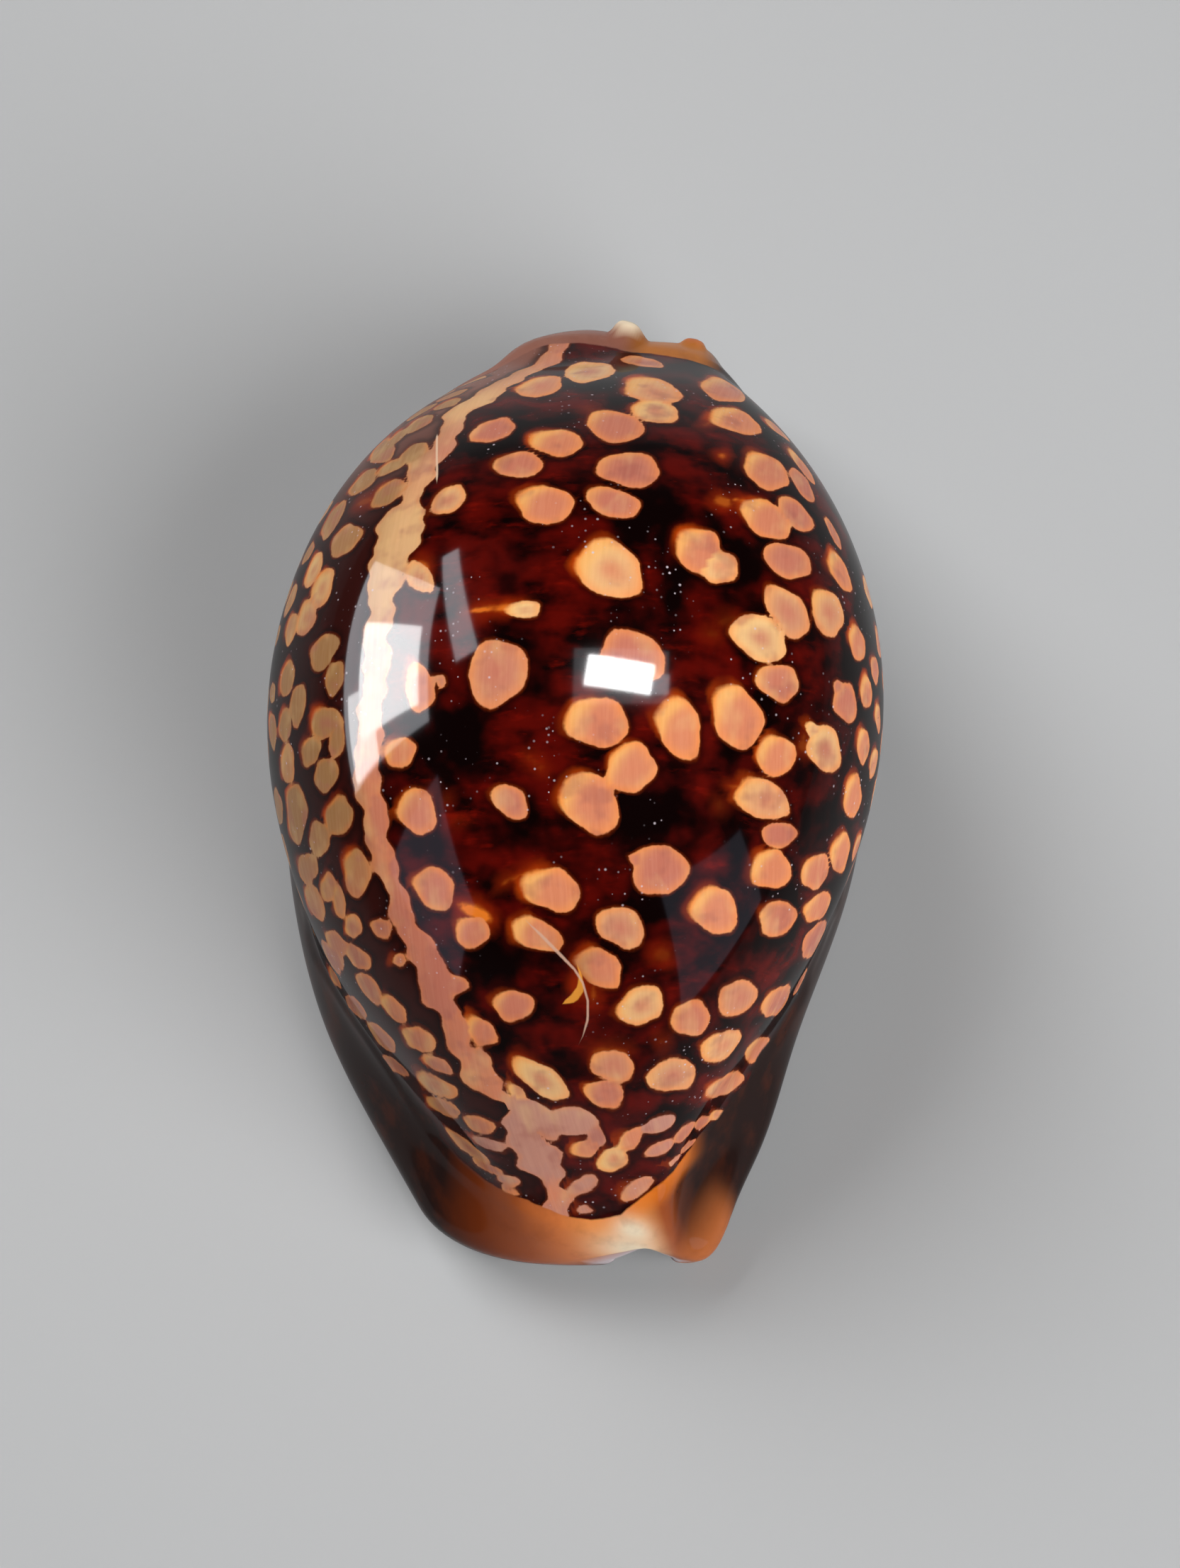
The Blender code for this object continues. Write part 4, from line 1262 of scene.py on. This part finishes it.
# Lamps that only shine in the gloss: place, point faced, size, brightness, colour and turn in
# degrees
GLOSS_LAMPS = {
    "window": ((-0.50, 0.12, 0.38), (0, 0.12, 0.38), (0.54, 0.50), 14.0, COOL, 0),
    "window_sky": ((-0.49, 0.05, 0.38), (0, 0.05, 0.38), (0.26, 0.34), 45.0, WHITE, 0),
    "window_foot": ((-0.49, -0.06, 0.22), (0, -0.06, 0.22), (0.16, 0.14), 31.0, WHITE, 0),
    "curtain_gap": ((-0.68, 0.58, 1.0), (-0.68, 0.58, 0), (0.15, 1.10), 15.0, COOL, 18.9),
    "ceiling_lamp": ((0.215, -0.07, 1.0), (0.215, -0.07, 0), (0.30, 0.13), 126.0, WHITE, -8),
    "lamp_glow": ((0.40, -0.11, 1.01), (0.40, -0.11, 0), (0.12, 0.09), 12.0, COOL, 0),
    "lamp_haze": ((0.235, -0.075, 1.02), (0.235, -0.075, 0), (0.44, 0.24), 4.0, COOL, 0),
    "left_wall": ((-0.50, -0.60, 0.42), (0, -0.60, 0.42), (0.55, 0.45), 2.0, DUSK, 0),
    "right_wall": ((0.54, -0.50, 0.27), (0.54, 0, 0.27), (0.50, 0.46), 1.4, EVENING, 0),
}

centre = (shell_low + shell_high) / 2


def look(thing, place, target, turn=0.0):
    """Put a camera or a lamp at a place, facing a target and turned about its own axis."""
    thing.location = place
    thing.rotation_euler = (target - place).to_track_quat("-Z", "Y").to_euler()
    thing.rotation_euler.rotate_axis("Z", turn)


def add_camera():
    """A camera steeply above the front end."""
    camera = bpy.data.cameras.new("camera")
    camera.sensor_width = FILM
    camera.lens = FILM / 2 / tan(radians(FRAME_TALL) / 2)
    camera.clip_start = 0.01
    holder = bpy.data.objects.new("camera", camera)
    bpy.context.scene.collection.objects.link(holder)
    aim = centre + AIM_OFFSET
    direction = Vector((0, -cos(VIEW_ELEVATION), sin(VIEW_ELEVATION)))
    look(holder, aim + direction * VIEW_DISTANCE, aim)
    bpy.context.scene.camera = holder


def add_panel(name, place, target, size, radiance, shines, colour=WHITE, turn=0):
    """A rectangular lamp that lights things, or that only shines in their gloss."""
    lamp = bpy.data.lights.new(name, "AREA")
    lamp.shape = "RECTANGLE"
    lamp.size, lamp.size_y = size
    lamp.energy = radiance * pi * size[0] * size[1]
    lamp.color = colour
    holder = bpy.data.objects.new(name, lamp)
    bpy.context.scene.collection.objects.link(holder)
    look(holder, Vector(place), Vector(target), radians(turn))
    holder.visible_diffuse = not shines
    holder.visible_glossy = shines


def add_world():
    """A plain room, lighter at the horizon than overhead."""
    tree = NodeTree(bpy.data.worlds.new("studio"), "Background")
    rise = tree.parts(tree.add("TexCoord", output="Generated"))[2]
    tree.shader.inputs["Color"].default_value = (*ROOM, 1.0)
    level = tree.ramp(rise, 0.0, ROOM_RISE, ROOM_LOW, ROOM_HIGH)
    tree.feed(tree.shader.inputs["Strength"], level)
    bpy.context.scene.world = tree.owner


def add_floor():
    """A floor painted as a pool of light, pale round the shell and darker away from it, which far
    away takes the room's brightness, so that the two meet.
    """
    mesh = bpy.data.meshes.new("floor")
    bm = bmesh.new()
    bmesh.ops.create_grid(bm, x_segments=1, y_segments=1, size=FLOOR_HALF_SIZE)
    bm.to_mesh(mesh)
    bm.free()
    floor = bpy.data.objects.new("floor", mesh)
    bpy.context.scene.collection.objects.link(floor)
    tree = NodeTree(bpy.data.materials.new("pale_paper"), "Principled BSDF")
    place = tree.add("TexCoord", output="Object")
    away = tree.add("VectorMath", {"operation": "LENGTH"}, {0: place}, "Value")
    grain = tree.noise(place, "paper grain") * GRAIN_SHARE
    # Painted pool of light: the paper's colour darkens with distance from the shell.
    shade = tree.layers(FLOOR_NEAR, (grain, FLOOR_GRAIN), (tree.ramp(away, *DIMMING), FLOOR_FAR))
    tree.feed(tree.shader.inputs["Base Color"], shade)
    tree.shader.inputs["Roughness"].default_value = 1.0
    tree.shader.inputs["Specular IOR Level"].default_value = 0.0
    seen = tree.add("LightPath", output="Is Camera Ray")
    seen = seen + seen.other("Is Glossy Ray") + seen.other("Is Transmission Ray")
    room = tree.add("Emission", {}, {"Color": (*ROOM, 1.0), "Strength": ROOM_LOW})
    paper = Wire(tree, tree.shader.outputs["BSDF"])
    far = tree.ramp(away, *FADING) * seen
    surface = tree.add("MixShader", {}, {0: far, 1: paper, 2: room})
    tree.feed(tree.nodes["Material Output"].inputs["Surface"], surface)
    mesh.materials.append(tree.owner)


add_camera()
add_world()
add_floor()
for name, (place, size, radiance) in SOFT_LAMPS.items():
    add_panel(name, place, centre, size, radiance, shines=False)
for name, (place, target, size, radiance, colour, turn) in GLOSS_LAMPS.items():
    add_panel(name, place, target, size, radiance, True, colour, turn)

bpy.context.scene.view_settings.view_transform = "Standard"
